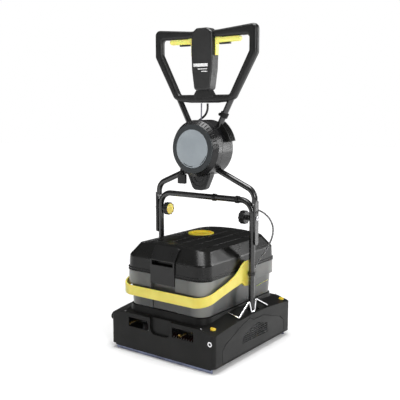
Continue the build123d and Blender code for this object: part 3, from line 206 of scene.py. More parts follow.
base_black = moulded("base_grained_black", (0.0045, 0.0045, 0.0042), (0.0085, 0.0085, 0.0080),
                     (0.36, 0.50), 0.0011, 0.00008, specular_ior_level=0.2)
panel_black = moulded("vent_panel_black", (0.0052, 0.0052, 0.0050), (0.0090, 0.0090, 0.0086),
                      (0.36, 0.48), 0.0009, 0.00008, specular_ior_level=0.24)
lid_black = moulded("lid_satin_black", (0.0035, 0.0035, 0.0033), (0.0060, 0.0060, 0.0056),
                    (0.24, 0.34), 0.0008, 0.00004, edge=0.0022, specular_ior_level=0.3)
latch_black = moulded("latch_satin_black", (0.004, 0.004, 0.004), (0.007, 0.007, 0.007),
                      (0.26, 0.40), 0.0008, 0.00006, edge=0.0018, specular_ior_level=0.4)
handle_black = moulded("handle_soft_black", (0.0055, 0.0055, 0.0055), (0.0095, 0.0095, 0.0095),
                       (0.30, 0.42), 0.0007, 0.00007, edge=0.0025, wear=0.2, specular_ior_level=0.4)
column_black = moulded("column_soft_black", (0.011, 0.011, 0.011), (0.018, 0.018, 0.018),
                       (0.34, 0.46), 0.0007, 0.00010, edge=0.0030, wear=0.2)
tub_black = moulded("recovery_tub_black", (0.008, 0.008, 0.008), (0.014, 0.014, 0.013),
                    (0.30, 0.50), 0.0015, 0.00015)
reel_slate = moulded("reel_slate", (0.014, 0.018, 0.020), (0.022, 0.027, 0.030),
                     (0.34, 0.48), 0.0008, 0.00008, edge=0.0015, wear=0.25)
reel_black = moulded("reel_gloss_black", (0.0045, 0.0045, 0.0050), (0.0080, 0.0080, 0.0088),
                     (0.22, 0.34), 0.0008, 0.00005, edge=0.0020, specular_ior_level=0.4)
print("black plastics:", base_black.name, lid_black.name, handle_black.name)

# %% [markdown]
# The bail, cap, locks and levers are yellow. Yellow plastic glows a little because light
# enters it and comes out nearby, which subsurface scattering copies. The bail is a paler,
# milkier lemon than the small parts, since it is moulded thick.

# %% Yellow plastics
def yellow(name, dark, light, rough):
    return moulded(name, dark, light, rough, 0.0016, 0.00005, rub=(0.95, 0.90, 0.55), wear=0.3,
                   patch=0.06, edge=0.0018, subsurface_weight=0.25, subsurface_scale=0.004)


bail_yellow = yellow("bail_lemon", (0.72, 0.60, 0.085), (0.80, 0.70, 0.14), (0.30, 0.42))
cap_yellow = yellow("cap_yellow", (0.80, 0.60, 0.030), (0.88, 0.70, 0.060), (0.26, 0.38))
lever_yellow = yellow("lever_yellow", (0.86, 0.80, 0.16), (0.92, 0.87, 0.24), (0.24, 0.34))
print("yellow plastics:", bail_yellow.name, cap_yellow.name, lever_yellow.name)

# %% [markdown]
# The tank is smoky, slightly see-through blow-moulded plastic. Full transmission would be slow
# and would show the CAD's clean inner walls. Instead light and shade are painted into the colour:
# a painted glow where two walls meet at a corner, as if light passed through, and painted shade
# low down where the tub stands behind, with slow cloudy changes of wall thickness.

# %% The smoky tank
TANK_REACH = (0.176, 0.236)
TANK_LOW = 0.178
TANK_HIGH = 0.306


def smoky_tank():
    finish, tree, shader = new_finish("tank_smoke_grey", ior=1.5, coat_weight=0.25,
                                      coat_roughness=0.12, subsurface_weight=0.12,
                                      subsurface_scale=0.006)
    place = node(tree, "TexCoord").outputs["Object"]
    parts = node(tree, "SeparateXYZ", {"Vector": place})
    near = []
    for axis, reach in zip("XY", TANK_REACH):
        size = node(tree, "Math", {0: parts.outputs[axis]}, operation="ABSOLUTE").outputs["Value"]
        near.append(between(tree, size, 0.0, 1.0, reach - 0.065, reach))
    # painted glow: the colour turns paler towards the tank's vertical corners, as if light shone
    # through them
    corner = times(tree, *near)
    # painted shade: the colour is darker towards the bottom, where the tub stands behind
    height = between(tree, parts.outputs["Z"], 0.25, 1.0, TANK_LOW + 0.02, TANK_HIGH - 0.03)
    cloud = between(tree, speckle(tree, 0.10, detail=3.0), 0.55, 1.0)
    shade = ramp(tree, times(tree, height, cloud),
                 [(0.10, (0.020, 0.021, 0.021)), (0.85, (0.095, 0.097, 0.089))])
    lit = mixed(tree, times(tree, corner, 0.75), shade, (0.34, 0.34, 0.32))
    tree.links.new(lit, shader.inputs["Base Color"])
    smears = speckle(tree, 0.06, detail=5.0, stretch=(1.0, 1.0, 0.5))
    tree.links.new(between(tree, smears, 0.28, 0.42), shader.inputs["Roughness"])
    rounded, _ = soft_edges(tree, 0.0025)
    ripple = speckle(tree, 0.02, detail=2.0)
    tree.links.new(relief(tree, ripple, 0.0003, rounded), shader.inputs["Normal"])
    return finish


tank_smoke = smoky_tank()
print("tank finish:", tank_smoke.name)

# %% [markdown]
# The tubes are powder coated, which looks like paint with a faint orange-peel ripple.
# Chrome, plain steel, zinc-plated sheet and brass are metals: their colour is the colour of
# their reflection, and their story is in the roughness. Turned and brushed parts get noise
# stretched along one direction, so that the scratches run the way the tool went.

# %% Metals and paint
def metal(name, colour, tarnish, rough, scratch=0.0015, stretch=(1, 1, 1), depth=0.00003):
    """A bare metal with tarnish in soft patches and fine scratches along the stretch."""
    finish, tree, shader = new_finish(name, metallic=1.0)
    body = ramp(tree, speckle(tree, 0.02, detail=5.0), [(0.35, tarnish), (0.6, colour)])
    tree.links.new(body, shader.inputs["Base Color"])
    lines = speckle(tree, scratch, detail=4.0, stretch=stretch)
    tree.links.new(between(tree, lines, *rough), shader.inputs["Roughness"])
    rounded, _ = soft_edges(tree, 0.0006)
    tree.links.new(relief(tree, lines, depth, rounded), shader.inputs["Normal"])
    return finish


def powder_coat():
    finish, tree, shader = new_finish("tube_powder_black", coat_weight=0.5, coat_roughness=0.06)
    body = ramp(tree, speckle(tree, 0.07),
                [(0.3, (0.004, 0.004, 0.004)), (0.7, (0.008, 0.008, 0.0085))])
    _, edges = soft_edges(tree, 0.001)
    chips = between(tree, speckle(tree, 0.006, detail=6.0), 0.0, 0.5, 0.62, 0.72)
    worn = mixed(tree, times(tree, edges, chips), body, (0.20, 0.20, 0.20))
    tree.links.new(worn, shader.inputs["Base Color"])
    smears = speckle(tree, 0.03, detail=5.0)
    tree.links.new(between(tree, smears, 0.22, 0.34), shader.inputs["Roughness"])
    peel = speckle(tree, 0.0025, detail=1.0)
    tree.links.new(relief(tree, peel, 0.00008), shader.inputs["Normal"])
    return finish


tube_black = powder_coat()
chrome = metal("chrome", (0.86, 0.86, 0.88), (0.70, 0.70, 0.72), (0.08, 0.18))
brushed_steel = metal("turned_steel", (0.58, 0.58, 0.60), (0.40, 0.40, 0.42), (0.22, 0.42),
                      stretch=(8, 1, 1))
zinc = metal("zinc_plated_sheet", (0.34, 0.35, 0.36), (0.22, 0.23, 0.24), (0.38, 0.60),
             scratch=0.004, stretch=(1, 3, 1))
brass = metal("turned_brass", (0.80, 0.58, 0.22), (0.55, 0.37, 0.12), (0.18, 0.34),
              stretch=(1, 6, 1))
lip_blue = metal("squeegee_strip_blue", (0.26, 0.29, 0.42), (0.16, 0.17, 0.24), (0.30, 0.48),
                 stretch=(0.2, 3, 3))
print("metals:", chrome.name, brushed_steel.name, zinc.name, brass.name, lip_blue.name)

# %% [markdown]
# What is left is rubber, lead sheath, bristle and the grey disc on the reel. Rubber and sheath
# are rougher than moulded plastic and get no edge rub. The moulding recipe still fits them,
# with rougher numbers, which keeps one recipe to learn instead of four.

# %% Rubber, sheath, bristle and the reel's disc
rubber = moulded("rubber_matt", (0.010, 0.010, 0.010), (0.018, 0.018, 0.018), (0.55, 0.75),
                 0.0012, 0.00012, wear=0.1)
sheath_black = moulded("lead_sheath_black", (0.006, 0.006, 0.006), (0.010, 0.010, 0.010),
                       (0.30, 0.45), 0.0012, 0.00005, wear=0.0, edge=0.0004)
sheath_grey = moulded("lead_sheath_grey", (0.10, 0.10, 0.125), (0.15, 0.145, 0.18), (0.35, 0.5),
                      0.0012, 0.00005, wear=0.0, edge=0.0004)
braid_black = moulded("braid_black", (0.008, 0.008, 0.009), (0.016, 0.016, 0.018), (0.35, 0.55),
                      0.0008, 0.00025, wear=0.0, edge=0.0004)
# painted highlight: pale flecks on the braided lead stand in for glints of light on it
painted_glint_white = moulded("painted_glint_white", (0.55, 0.55, 0.56), (0.75, 0.75, 0.76), (0.4, 0.6), 0.0006,
                      0.00010, wear=0.0, edge=0.0004)
bristle_red = moulded("bristle_nylon_red", (0.060, 0.009, 0.006), (0.110, 0.018, 0.012),
                      (0.40, 0.60), 0.0020, 0.00010, rub=(0.30, 0.10, 0.07), edge=0.0004)
disc_grey = moulded("reel_disc_grey", (0.27, 0.305, 0.33), (0.33, 0.365, 0.39), (0.34, 0.48),
                    0.0008, 0.00006, rub=(0.55, 0.6, 0.62), wear=0.3, edge=0.0012)
label_pale = moulded("label_pale", (0.72, 0.72, 0.72), (0.82, 0.82, 0.82), (0.4, 0.5), 0.0008,
                     0.00003, wear=0.0, edge=0.0002, patch=0.02)
# painted shade: a dark finish for the inlays that stand in for the shade in the disc's grooves
groove_shade_dark = moulded("groove_shade_dark", (0.012, 0.014, 0.015), (0.020, 0.022, 0.024), (0.6, 0.8), 0.0008,
                    0.00003, wear=0.0, edge=0.0002)
print("soft finishes:", rubber.name, sheath_black.name, bristle_red.name, disc_grey.name)

# %% [markdown]
# Each CAD piece now gets its finish. A dictionary from finish to piece names is the plainest
# way to see what is made of what. A piece's mesh stays untouched; only its material slot
# changes.

# %% Give every CAD piece its finish
WEARS = (
    (base_black, ["base_cover", "squeegee_carriers", "corner_boss", "cord_guide"]),
    (panel_black, ["side_panel_left", "side_panel_right", "suction_turbine", "water_pump"]),
    (lid_black, ["tank_lid"]),
    (latch_black, ["lid_latch"]),
    (handle_black, ["handle_frame", "star_knob_left", "star_knob_right", "lead_clips",
                    "hand_switch"]),
    (column_black, ["column_front", "column_back"]),
    (tub_black, ["dirty_tank"]),
    (reel_slate, ["reel_ring"]),
    (reel_black, ["reel_shell", "reel_rear_shell", "reel_foot", "plug_body", "spool"]),
    (disc_grey, ["reel_disc"]),
    (bail_yellow, ["carry_bail"]),
    (cap_yellow, ["filler_cap", "knob_cap_left", "knob_cap_right", "turn_lock_front",
                  "turn_lock_rear"]),
    (lever_yellow, ["hand_lever_left", "hand_lever_right"]),
    (tank_smoke, ["fresh_tank"]),
    (tube_black, ["lower_frame", "upper_tubes"]),
    (chrome, ["wire_catch", "clamp_bolts", "base_bolts", "plug_pins"]),
    (brushed_steel, ["roller_shaft_front", "roller_shaft_rear", "lever_pins", "spool_axle",
                     "bail_pivots"]),
    (zinc, ["chassis", "leg_brackets", "brush_motors"]),
    (brass, ["spray_nozzles", "roller_bearings"]),
    (lip_blue, ["squeegee_lips"]),
    (rubber, ["lid_seal", "drive_belts"]),
    (bristle_red, ["brush_roller_front", "brush_roller_rear"]),
    (sheath_black, ["power_lead", "wound_cord"]),
    (sheath_grey, ["control_lead"]),
    (braid_black, ["crossbar_lead", "loop_lead"]),
)

unfinished = set(nodes)
for finish, names in WEARS:
    for name in names:
        piece = nodes[name]
        if not piece.material_slots:
            piece.data.materials.append(finish)
        for place in piece.material_slots:
            place.material = finish
        unfinished.discard(name)
print("CAD pieces without a finish:", sorted(unfinished))

# %% [markdown]
# A braided lead hangs from the cross member, swings out to the right and comes back to the leg.
# It could be a mesh tube, but a NURBS curve with a round bevel stays smooth, needs only a few
# points and keeps the lead's true length. The order and the end rule are set after the points,
# because Blender lowers the order when there are too few points.

# %% Hang the braided lead
LEAD_POINTS = (
    (0.19794, 0.0246, 0.54794), (0.216, 0.0266, 0.5315), (0.247, 0.032, 0.520),
    (0.272, 0.033, 0.500), (0.286, 0.033, 0.471), (0.284, 0.033, 0.441),
    (0.272, 0.033, 0.410), (0.250, 0.032, 0.372), (0.222, 0.029, 0.336),
    (0.212, 0.0246, 0.303),
)
LEAD_DIAMETER = 0.0065


def smooth_curve(name, points):
    """A NURBS curve object through its control points, clamped at both ends."""
    curve = bpy.data.curves.new(name, "CURVE")
    curve.dimensions = "3D"
    curve.resolution_u = 10
    spline = curve.splines.new("NURBS")
    spline.points.add(len(points) - 1)
    for control, point in zip(spline.points, points):
        control.co = (*point, 1.0)
    spline.order_u = 3
    spline.use_endpoint_u = True
    made = bpy.data.objects.new(name, curve)
    bpy.context.scene.collection.objects.link(made)
    return made


def curve_line(curve_object):
    """The points of a bare curve, read before it has a bevel."""
    line = bpy.data.meshes.new_from_object(curve_object)
    return [vertex.co.copy() for vertex in line.vertices]


loop_cord = smooth_curve("braided_loop", LEAD_POINTS)
loop_line = curve_line(loop_cord)
loop_cord.data.bevel_depth = LEAD_DIAMETER / 2
loop_cord.data.bevel_resolution = 4
loop_cord.data.materials.append(braid_black)
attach(loop_cord, "frame")
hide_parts("loop_lead")
measured = sum((b - a).length for a, b in zip(loop_line, loop_line[1:]))
print("braided lead:", round(measured * 1000), "mm along", len(loop_line), "points")

# %% [markdown]
# Small pieces are made in mesh code. One helper turns points and faces into an object that
# wears a finish, rides on a body and names its material slot, so that no piece forgets one.

# %% Helper for new pieces
def mesh_piece(name, points, faces, finish, body, smooth=True):
    """A mesh object from points in metres and faces, riding on a body of the machine."""
    mesh = bpy.data.meshes.new(name)
    mesh.from_pydata([tuple(p) for p in points], [], faces)
    mesh.update()
    for face in mesh.polygons:
        face.use_smooth = smooth
    mesh.materials.append(finish)
    made = bpy.data.objects.new(name, mesh)
    bpy.context.scene.collection.objects.link(made)
    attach(made, body)
    return made


def grid_faces(rows, columns, start=0, wrap=False):
    """Quads between neighbouring points of a grid, closed into a ring if wrap is set."""
    faces = []
    for row in range(rows - 1):
        for column in range(columns if wrap else columns - 1):
            after = (column + 1) % columns
            low, high = start + row * columns, start + (row + 1) * columns
            faces.append((low + column, low + after, high + after, high + column))
    return faces


def thicken(made, depth):
    """Gives a thin sheet its depth, behind its face, so that it is a closed piece."""
    modifier = made.modifiers.new("depth", "SOLIDIFY")
    modifier.thickness = depth
    modifier.offset = -1.0
    return made


print("piece helpers are ready")

# %% [markdown]
# The lead's braid is black; its glints of light are painted highlights, pale flecks on it.
# A painted texture would need coordinates along the curve. Small raised pale flecks set in four
# spirals give that painted sparkle, catch real light and keep their place when the model is
# exported.

# %% Set the painted glint flecks round the lead
FLECK_PITCH = 0.0058
FLECK_LENGTH = 0.0034
FLECK_HALF_ANGLE = 0.42
FLECK_RISE = 0.00012
FLECK_THICK = 0.00010
STRANDS = 4
TWIST = 0.8  # radians round the lead from one fleck to the next


def fleck_grid(line, along, angle):
    """A small slanted patch of points on the lead, along metres from its start."""
    walked, rows = 0.0, []
    for a, b in zip(line, line[1:]):
        step = (b - a).length
        if walked + step >= along:
            direction = (b - a).normalized()
            centre = a + direction * (along - walked)
            break
        walked += step
    side = direction.cross(Vector((0, 1, 0))).normalized()
    up = side.cross(direction).normalized()
    for t in (-0.5, 0.0, 0.5):
        ring = []
        for turn in (-1.0, 0.0, 1.0):
            spread = FLECK_HALF_ANGLE * (1.0 - abs(t)) * turn
            around = angle + spread + t * 0.5
            outward = side * cos(around) + up * sin(around)
            ring.append(centre + direction * (t * FLECK_LENGTH)
                        + outward * (LEAD_DIAMETER / 2 + FLECK_RISE))
        rows.append(ring)
    return [point for ring in rows for point in ring]


fleck_points, fleck_faces = [], []
fleck_count = int(measured / FLECK_PITCH) - 1
for index in range(fleck_count):
    for strand in range(STRANDS):
        turn = strand * 2 * pi / STRANDS + index * TWIST
        start = len(fleck_points)
        fleck_points += fleck_grid(loop_line, (index + 1) * FLECK_PITCH, turn)
        fleck_faces += grid_faces(3, 3, start)
# painted highlight: the pale flecks are glints of light painted onto the lead
flecks = mesh_piece("glint_flecks", fleck_points, fleck_faces, painted_glint_white, "frame")
thicken(flecks, FLECK_THICK)
print("flecks on the lead:", fleck_count * STRANDS)

# %% [markdown]
# The CAD draws each brush roller with solid fins. A real roller has tufts: bunches of nylon
# set in holes along a slow spiral. Each tuft here is a splayed bunch of nine tapered
# filaments. They are one mesh per roller, because thousands of objects would be slow.

# %% Set the tufts of the brush rollers
ROLLER_HEIGHT = 0.043
ROLLER_REACH = 0.0415
CORE_RADIUS = 0.0212
CORE_BORE = 0.0062
ROLLER_HALF = 0.1995
TUFT_ROWS = 14
TUFTS_IN_ROW = 34
TUFT_SPIRAL = 0.9  # radians from one end of the roller to the other
TUFT_MARGIN = 0.005  # bare length at each end of the core
HOLE_SPREAD = 0.0007  # between filaments where they leave the hole
TIP_SPREAD = 0.0016  # and how much further apart their tips are
FILAMENT_HALF = (0.00050, 0.00034)  # half a filament's width at its foot and tip
FRONT_AXLE_Y = -0.052
REAR_AXLE_Y = 0.052


def roller_core(y):
    """A plain plastic tube with bevelled ends, as points and faces."""
    sides, points = 56, []
    stations = [(-ROLLER_HALF, CORE_BORE), (-ROLLER_HALF, CORE_RADIUS - 0.001),
                (-ROLLER_HALF + 0.001, CORE_RADIUS), (ROLLER_HALF - 0.001, CORE_RADIUS),
                (ROLLER_HALF, CORE_RADIUS - 0.001), (ROLLER_HALF, CORE_BORE)]
    for x, radius in stations + [stations[0]]:
        for side in range(sides):
            angle = 2 * pi * side / sides
            points.append((x, y + radius * cos(angle), ROLLER_HEIGHT + radius * sin(angle)))
    return points, grid_faces(len(stations) + 1, sides, wrap=True)


def tuft(points, faces, base, outward, across, lean):
    """Nine filaments from one hole, splayed apart towards their tips."""
    length = ROLLER_REACH - CORE_RADIUS + 0.0005
    for i in (-1, 0, 1):
        for j in (-1, 0, 1):
            foot = base + across * (i * HOLE_SPREAD) + lean * (j * HOLE_SPREAD)
            tip = foot + outward * (length * (1 - 0.03 * (abs(i) + abs(j))))
            tip += across * (i * TIP_SPREAD) + lean * (j * TIP_SPREAD)
            start = len(points)
            for centre, half in zip((foot, tip), FILAMENT_HALF):
                for u, v in ((-1, -1), (1, -1), (1, 1), (-1, 1)):
                    points.append(centre + across * (u * half) + lean * (v * half))
            faces += [(start + k, start + (k + 1) % 4, start + 4 + (k + 1) % 4, start + 4 + k)
                      for k in range(4)]
            faces.append((start + 3, start + 2, start + 1, start))
            faces.append((start + 4, start + 5, start + 6, start + 7))


def tufted_roller(name, y, body, cad_node, hand):
    """A core and one mesh of tufts; hand is the way the spiral winds. Returns the filaments."""
    points, faces = roller_core(y)
    mesh_piece(name + "_core", points, faces, tub_black, body)
    points, faces = [], []
    for row in range(TUFT_ROWS):
        for index in range(TUFTS_IN_ROW):
            share = (index + 0.5) / TUFTS_IN_ROW
            x = (2 * share - 1) * (ROLLER_HALF - TUFT_MARGIN)
            angle = 2 * pi * row / TUFT_ROWS + hand * TUFT_SPIRAL * share
            outward = Vector((0.0, cos(angle), sin(angle)))
            lean = Vector((0.0, -sin(angle), cos(angle)))
            base = Vector((x, y, ROLLER_HEIGHT)) + outward * (CORE_RADIUS - 0.001)
            tuft(points, faces, base, outward, Vector((1.0, 0.0, 0.0)), lean)
    tufts = mesh_piece(name + "_tufts", points, faces, bristle_red, body, smooth=False)
    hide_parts(cad_node)
    return len(points) // 8


filaments = tufted_roller("front_roller", FRONT_AXLE_Y, "roller_front", "brush_roller_front", 1)
filaments += tufted_roller("rear_roller", REAR_AXLE_Y, "roller_rear", "brush_roller_rear", -1)
print("nylon filaments:", filaments)

# %% [markdown]
# Inside the reel the mains lead is wound on its spool. The CAD keeps it as one smooth ring.
# Its surface is really a spiral of round turns, so the ring's radius rises and falls with
# the position across the spool and with the angle, which makes one continuous winding.

# %% Wind the lead on the spool
REEL_HEIGHT = 0.745
WINDING_OUTER = 0.0798
WINDING_INNER = 0.0383
WINDING_Y = (-0.0568, -0.0112)
LEAD_PITCH = 0.0076
TURN_DEPTH = 0.0030


def reel_circle(radius_at, y, sides):
    """Points round the reel's axis at y; radius_at gives the radius for an angle."""
    angles = [2 * pi * side / sides for side in range(sides)]
    return [(radius_at(a) * cos(a), y, REEL_HEIGHT + radius_at(a) * sin(a)) for a in angles]


def wound_turns():
    """The winding's skin: rippled outside, then back along a plain bore."""
    sides, steps, points = 120, 48, []
    y_low, y_high = WINDING_Y
    for step in range(steps + 1):
        y = y_low + (y_high - y_low) * step / steps
        turn = (y - y_low) / LEAD_PITCH * pi
        ripple = lambda a: WINDING_OUTER - TURN_DEPTH * (1 - abs(sin(turn - a / 2)))
        points += reel_circle(ripple, y, sides)
    for y in (y_high, y_low):
        points += reel_circle(lambda a: WINDING_INNER, y, sides)
    rows = steps + 3
    faces = grid_faces(rows, sides, wrap=True)
    last = (rows - 1) * sides
    faces += [(last + s, last + (s + 1) % sides, (s + 1) % sides, s) for s in range(sides)]
    return points, faces


turn_points, turn_faces = wound_turns()
winding = mesh_piece("wound_lead", turn_points, turn_faces, sheath_black, "reel_spool")
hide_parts("wound_cord")
print("turns across the spool:", round((WINDING_Y[1] - WINDING_Y[0]) / LEAD_PITCH))

# %% [markdown]
# Thin printed or inlaid marks have to lie on curved CAD surfaces. A Shrinkwrap modifier could
# pull them down, but it may slide points sideways. Casting a ray from each point onto the
# piece is exact, and lifting the result a little keeps it from flickering.

# %% Helper that lays a thin patch on a CAD piece
PATCH_SHARE = 0.8  # of its lift, which is how thick a patch is
surfaces = {}


def laid_on(name, under, rows, toward, finish, body, lift=0.0003):
    """A thin closed patch: rows of start points are cast toward the piece under it."""
    if under not in surfaces:
        surfaces[under] = BVHTree.FromObject(nodes[under], bpy.context.evaluated_depsgraph_get())
    direction, points = Vector(toward).normalized(), []
    for row in rows:
        for start in row:
            hit = surfaces[under].ray_cast(Vector(start), direction)[0]
            points.append(hit - direction * lift)
    made = mesh_piece(name, points, grid_faces(len(rows), len(rows[0])), finish, body)
    if made.data.polygons[0].normal.dot(direction) > 0:
        made.data.flip_normals()
    return thicken(made, lift * PATCH_SHARE)


def bar_rows(x_low, x_high, z_low, z_high, y, steps=10, bands=4):
    """A level bar seen from the front, as rows of points in metres from sizes in millimetres."""
    return [[((x_low + (x_high - x_low) * i / steps) * MM, y * MM,
              (z_low + (z_high - z_low) * band / bands) * MM) for i in range(steps + 1)]
            for band in range(bands + 1)]


BADGE_BARS = {
    "badge_bar": (-36, 29, 1042, 1053),
    "badge_line_upper": (-16, 27, 1032, 1035),
    "badge_line_lower": (0, 27, 1023, 1026),
}
for name, sizes in BADGE_BARS.items():
    laid_on(name, "column_front", bar_rows(*sizes, y=-60), (0, 1, 0), label_pale, "upper_handle")
print("plain badge bars:", len(BADGE_BARS))

# %% [markdown]
# The disc has two curved finger grooves whose floors lie in shade and look nearly black. That shade
# is
# painted: a thin dark inlay follows the floor of each one, cast onto it in the same way as the
# badge.

# %% Painted shade in the disc's grooves
GROOVE_ARCS = {"groove_shade_left": (-126, -87, 65.5), "groove_shade_right": (-57, -20, 66.5)}
GROOVE_HALF = 1.2
GROOVE_LIFT = 0.0008


def arc_rows(start, end, middle, steps=16):
    """An arc round the reel's axis in front of the disc, as three rows of points."""
    rows = []
    for offset in (-GROOVE_HALF, 0.0, GROOVE_HALF):
        radius = (middle + offset) * MM
        angles = [radians(start + 1 + (end - start - 2) * i / steps) for i in range(steps + 1)]
        rows.append([(radius * cos(a), -0.12, REEL_HEIGHT + radius * sin(a)) for a in angles])
    return rows


# painted shade: each dark inlay lies along a groove's floor, where shade falls
for name, arc in GROOVE_ARCS.items():
    laid_on(name, "reel_disc", arc_rows(*arc), (0, 1, 0), groove_shade_dark, "upper_handle",
            lift=GROOVE_LIFT)
print("groove inlays:", len(GROOVE_ARCS))

# %% [markdown]
# Each tank side carries a short yellow stripe near its rear end. It follows the wall's slope,
# so it is cast sideways onto the tank, like a sticker pressed on by hand.

# %% Stripes on the tank's sides
STRIPE_Y = (106, 190)
STRIPE_Z = (221, 228)
STRIPE_HEIGHT = 2.4
STRIPE_STEPS = 12


def stripe_rows(x):
    """Two rows of points beside the tank, rising from the stripe's front end to its rear end."""
    rows = []
    for lift in (-STRIPE_HEIGHT / 2, STRIPE_HEIGHT / 2):
        shares = [i / STRIPE_STEPS for i in range(STRIPE_STEPS + 1)]
        rows.append([(x * MM, (STRIPE_Y[0] + (STRIPE_Y[1] - STRIPE_Y[0]) * share) * MM,
                      (STRIPE_Z[0] + (STRIPE_Z[1] - STRIPE_Z[0]) * share + lift) * MM)
                     for share in shares])
    return rows


for side, x in (("right", 260.0), ("left", -260.0)):
    laid_on(f"side_stripe_{side}", "fresh_tank", stripe_rows(x), (-x, 0, 0), lever_yellow, "tank")
print("stripes on the tank: 2")

# %% [markdown]
# The two chrome ring bolts hold a black rubber plug in their middle. Each plug is a short
# disc with a domed face, pressed into the bolt's socket so that only chrome shows round it.

# %% Plugs in the ring bolts
PLUG_SEATS = {"front": (0.216, -0.2586, 0.106), "rear": (-0.216, 0.2586, 0.106)}
PLUG_RADIUS = 0.0048
PLUG_DEPTH = 0.0005


def bolt_plug(name, seat, outward):
    """A thin domed disc at seat that faces outward along y."""
    sides, rings, points = 32, 4, []
    x, y, z = seat
    for ring in range(1, rings + 1):
        share = ring / rings
        for side in range(sides):
            angle = 2 * pi * side / sides
            reach = PLUG_RADIUS * share
            dome = outward * PLUG_DEPTH * (1 - share ** 2)
            points.append((x + reach * cos(angle), y + dome, z + reach * sin(angle)))
    faces = grid_faces(rings, sides, wrap=True) + [tuple(reversed(range(sides)))]
    if outward > 0:
        faces = [tuple(reversed(face)) for face in faces]
    return thicken(mesh_piece(name, points, faces, rubber, "base"), PLUG_DEPTH)


for end, seat in PLUG_SEATS.items():
    bolt_plug(f"bolt_plug_{end}", seat, -1 if end == "front" else 1)
print("plugs:", len(PLUG_SEATS))

# %% [markdown]
# A black strip is clipped under the inner half of each yellow lever. It is extruded from a
# side outline with a row of shallow finger ribs, and bevelled so its edges catch light.

# %% Strips under the levers
STRIP_X = (66.0, 113.0)
STRIP_Z = (1119.6, 1125.6)
STRIP_HALF_Y = 5.5
STRIP_Y = 10.0
STRIP_RIBS = 9


def extruded(name, outline, y_low, y_high, finish, body, bevel=0.0004):
    """A closed prism: an (x, z) outline in millimetres pulled from y_low to y_high."""
    count = len(outline)
    points = [(x * MM, y * MM, z * MM) for y in (y_low, y_high) for x, z in outline]
    faces = [tuple(range(count)), tuple(reversed(range(count, 2 * count)))]
    faces += [(i, count + i, count + (i + 1) % count, (i + 1) % count) for i in range(count)]
    made = mesh_piece(name, points, faces, finish, body, smooth=False)
    edge = made.modifiers.new("edge", "BEVEL")
    edge.width = bevel
    edge.segments = 2
    edge.limit_method = "ANGLE"
    return made


def strip_outline(side):
    (x_in, x_out), (z_low, z_high) = STRIP_X, STRIP_Z
    outline = [(side * x_in, z_high), (side * x_out, z_high)]
    pitch = (x_out - x_in) / STRIP_RIBS
    for rib in range(STRIP_RIBS):
        x = x_out - pitch * rib
        outline += [(side * (x - 0.15 * pitch), z_low), (side * (x - 0.70 * pitch), z_low),
                    (side * (x - 0.85 * pitch), z_low + 1.2)]
    return outline if side > 0 else outline[::-1]


for side, name in ((1, "right"), (-1, "left")):
    extruded(f"lever_strip_{name}", strip_outline(side), STRIP_Y - STRIP_HALF_Y,
             STRIP_Y + STRIP_HALF_Y, handle_black, f"lever_{name}")
print("lever strips: 2, with", STRIP_RIBS, "ribs each")

# %% [markdown]
# Domed cross-head screws hold the rear halves of the column and the reel. A screw head is a
# dome with a cross-shaped hollow, made here as rings of points whose depth is pushed down
# where a ring crosses the cross. One mesh holds all the screws of one body.

# %% Screws in the rear shells
SCREW_RADIUS = 0.0042
SCREW_RISE = 0.0016
CROSS_HALF = 0.0007
CROSS_REACH = 0.0026
CROSS_DEPTH = 0.0009
SCREW_ROOT = 0.0008  # how far a head goes into the shell
COLUMN_SCREWS = ((-34, 1166), (34, 1166), (-30, 1060), (30, 1060), (-17, 974), (17, 974))
REEL_SCREW_RING = 0.086
REEL_SCREW_COUNT = 6


def screw_heads(name, places, body):
    """Domes that face the machine's rear, each at (x, y, z) in metres."""
    sides, rings, points, faces = 24, 8, [], []
    for x, y, z in places:
        start = len(points)
        for ring in range(1, rings + 1):
            radius = SCREW_RADIUS * ring / rings
            for side in range(sides):
                angle = 2 * pi * side / sides
                u, v = radius * cos(angle), radius * sin(angle)
                height = SCREW_RISE * (1 - (ring / rings) ** 2)
                if radius < CROSS_REACH and min(abs(u), abs(v)) < CROSS_HALF:
                    height -= CROSS_DEPTH
                points.append((x + u, y + height, z + v))
        for side in range(sides):
            angle = 2 * pi * side / sides
            points.append((x + SCREW_RADIUS * cos(angle), y - SCREW_ROOT,
                           z + SCREW_RADIUS * sin(angle)))
        faces += [tuple(reversed(face)) for face in grid_faces(rings + 1, sides, start, wrap=True)]
        faces.append(tuple(range(start, start + sides)))
        last = start + rings * sides
        faces.append(tuple(last + s for s in range(sides)))
    return mesh_piece(name, points, faces, zinc, body)


column_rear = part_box("column_back")[1].y
reel_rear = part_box("reel_rear_shell")[1].y
column_places = [(x * MM, column_rear, z * MM) for x, z in COLUMN_SCREWS]
reel_places = [(REEL_SCREW_RING * cos(pi / 6 + i * pi / 3), reel_rear,
                REEL_HEIGHT + REEL_SCREW_RING * sin(pi / 6 + i * pi / 3))
               for i in range(REEL_SCREW_COUNT)]
screw_heads("column_screws", column_places, "upper_handle")
screw_heads("reel_screws", reel_places, "upper_handle")
print("screws:", len(column_places) + len(reel_places))

# %% [markdown]
# The floor is a large pale sheet and the backdrop is white, so the two meet without a line.
# Black plastic only looks moulded when it has something dark and something bright to mirror,
# so the world the machine reflects is dim at the horizon and brighter overhead.
# A Light Path node keeps that dim world out of the picture: the camera itself sees white.

# %% Floor and world
FLOOR_HALF = 12.0
FLOOR_TONE = 0.92
FLOOR_GLOW = (0.10, 1.02)  # under the machine, and far away
GLOW_REACH = (0.9, 3.2)  # metres from the machine where the glow starts and is full
WORLD_LOW = 0.02  # what the machine mirrors at the horizon
WORLD_HIGH = 0.45  # and overhead


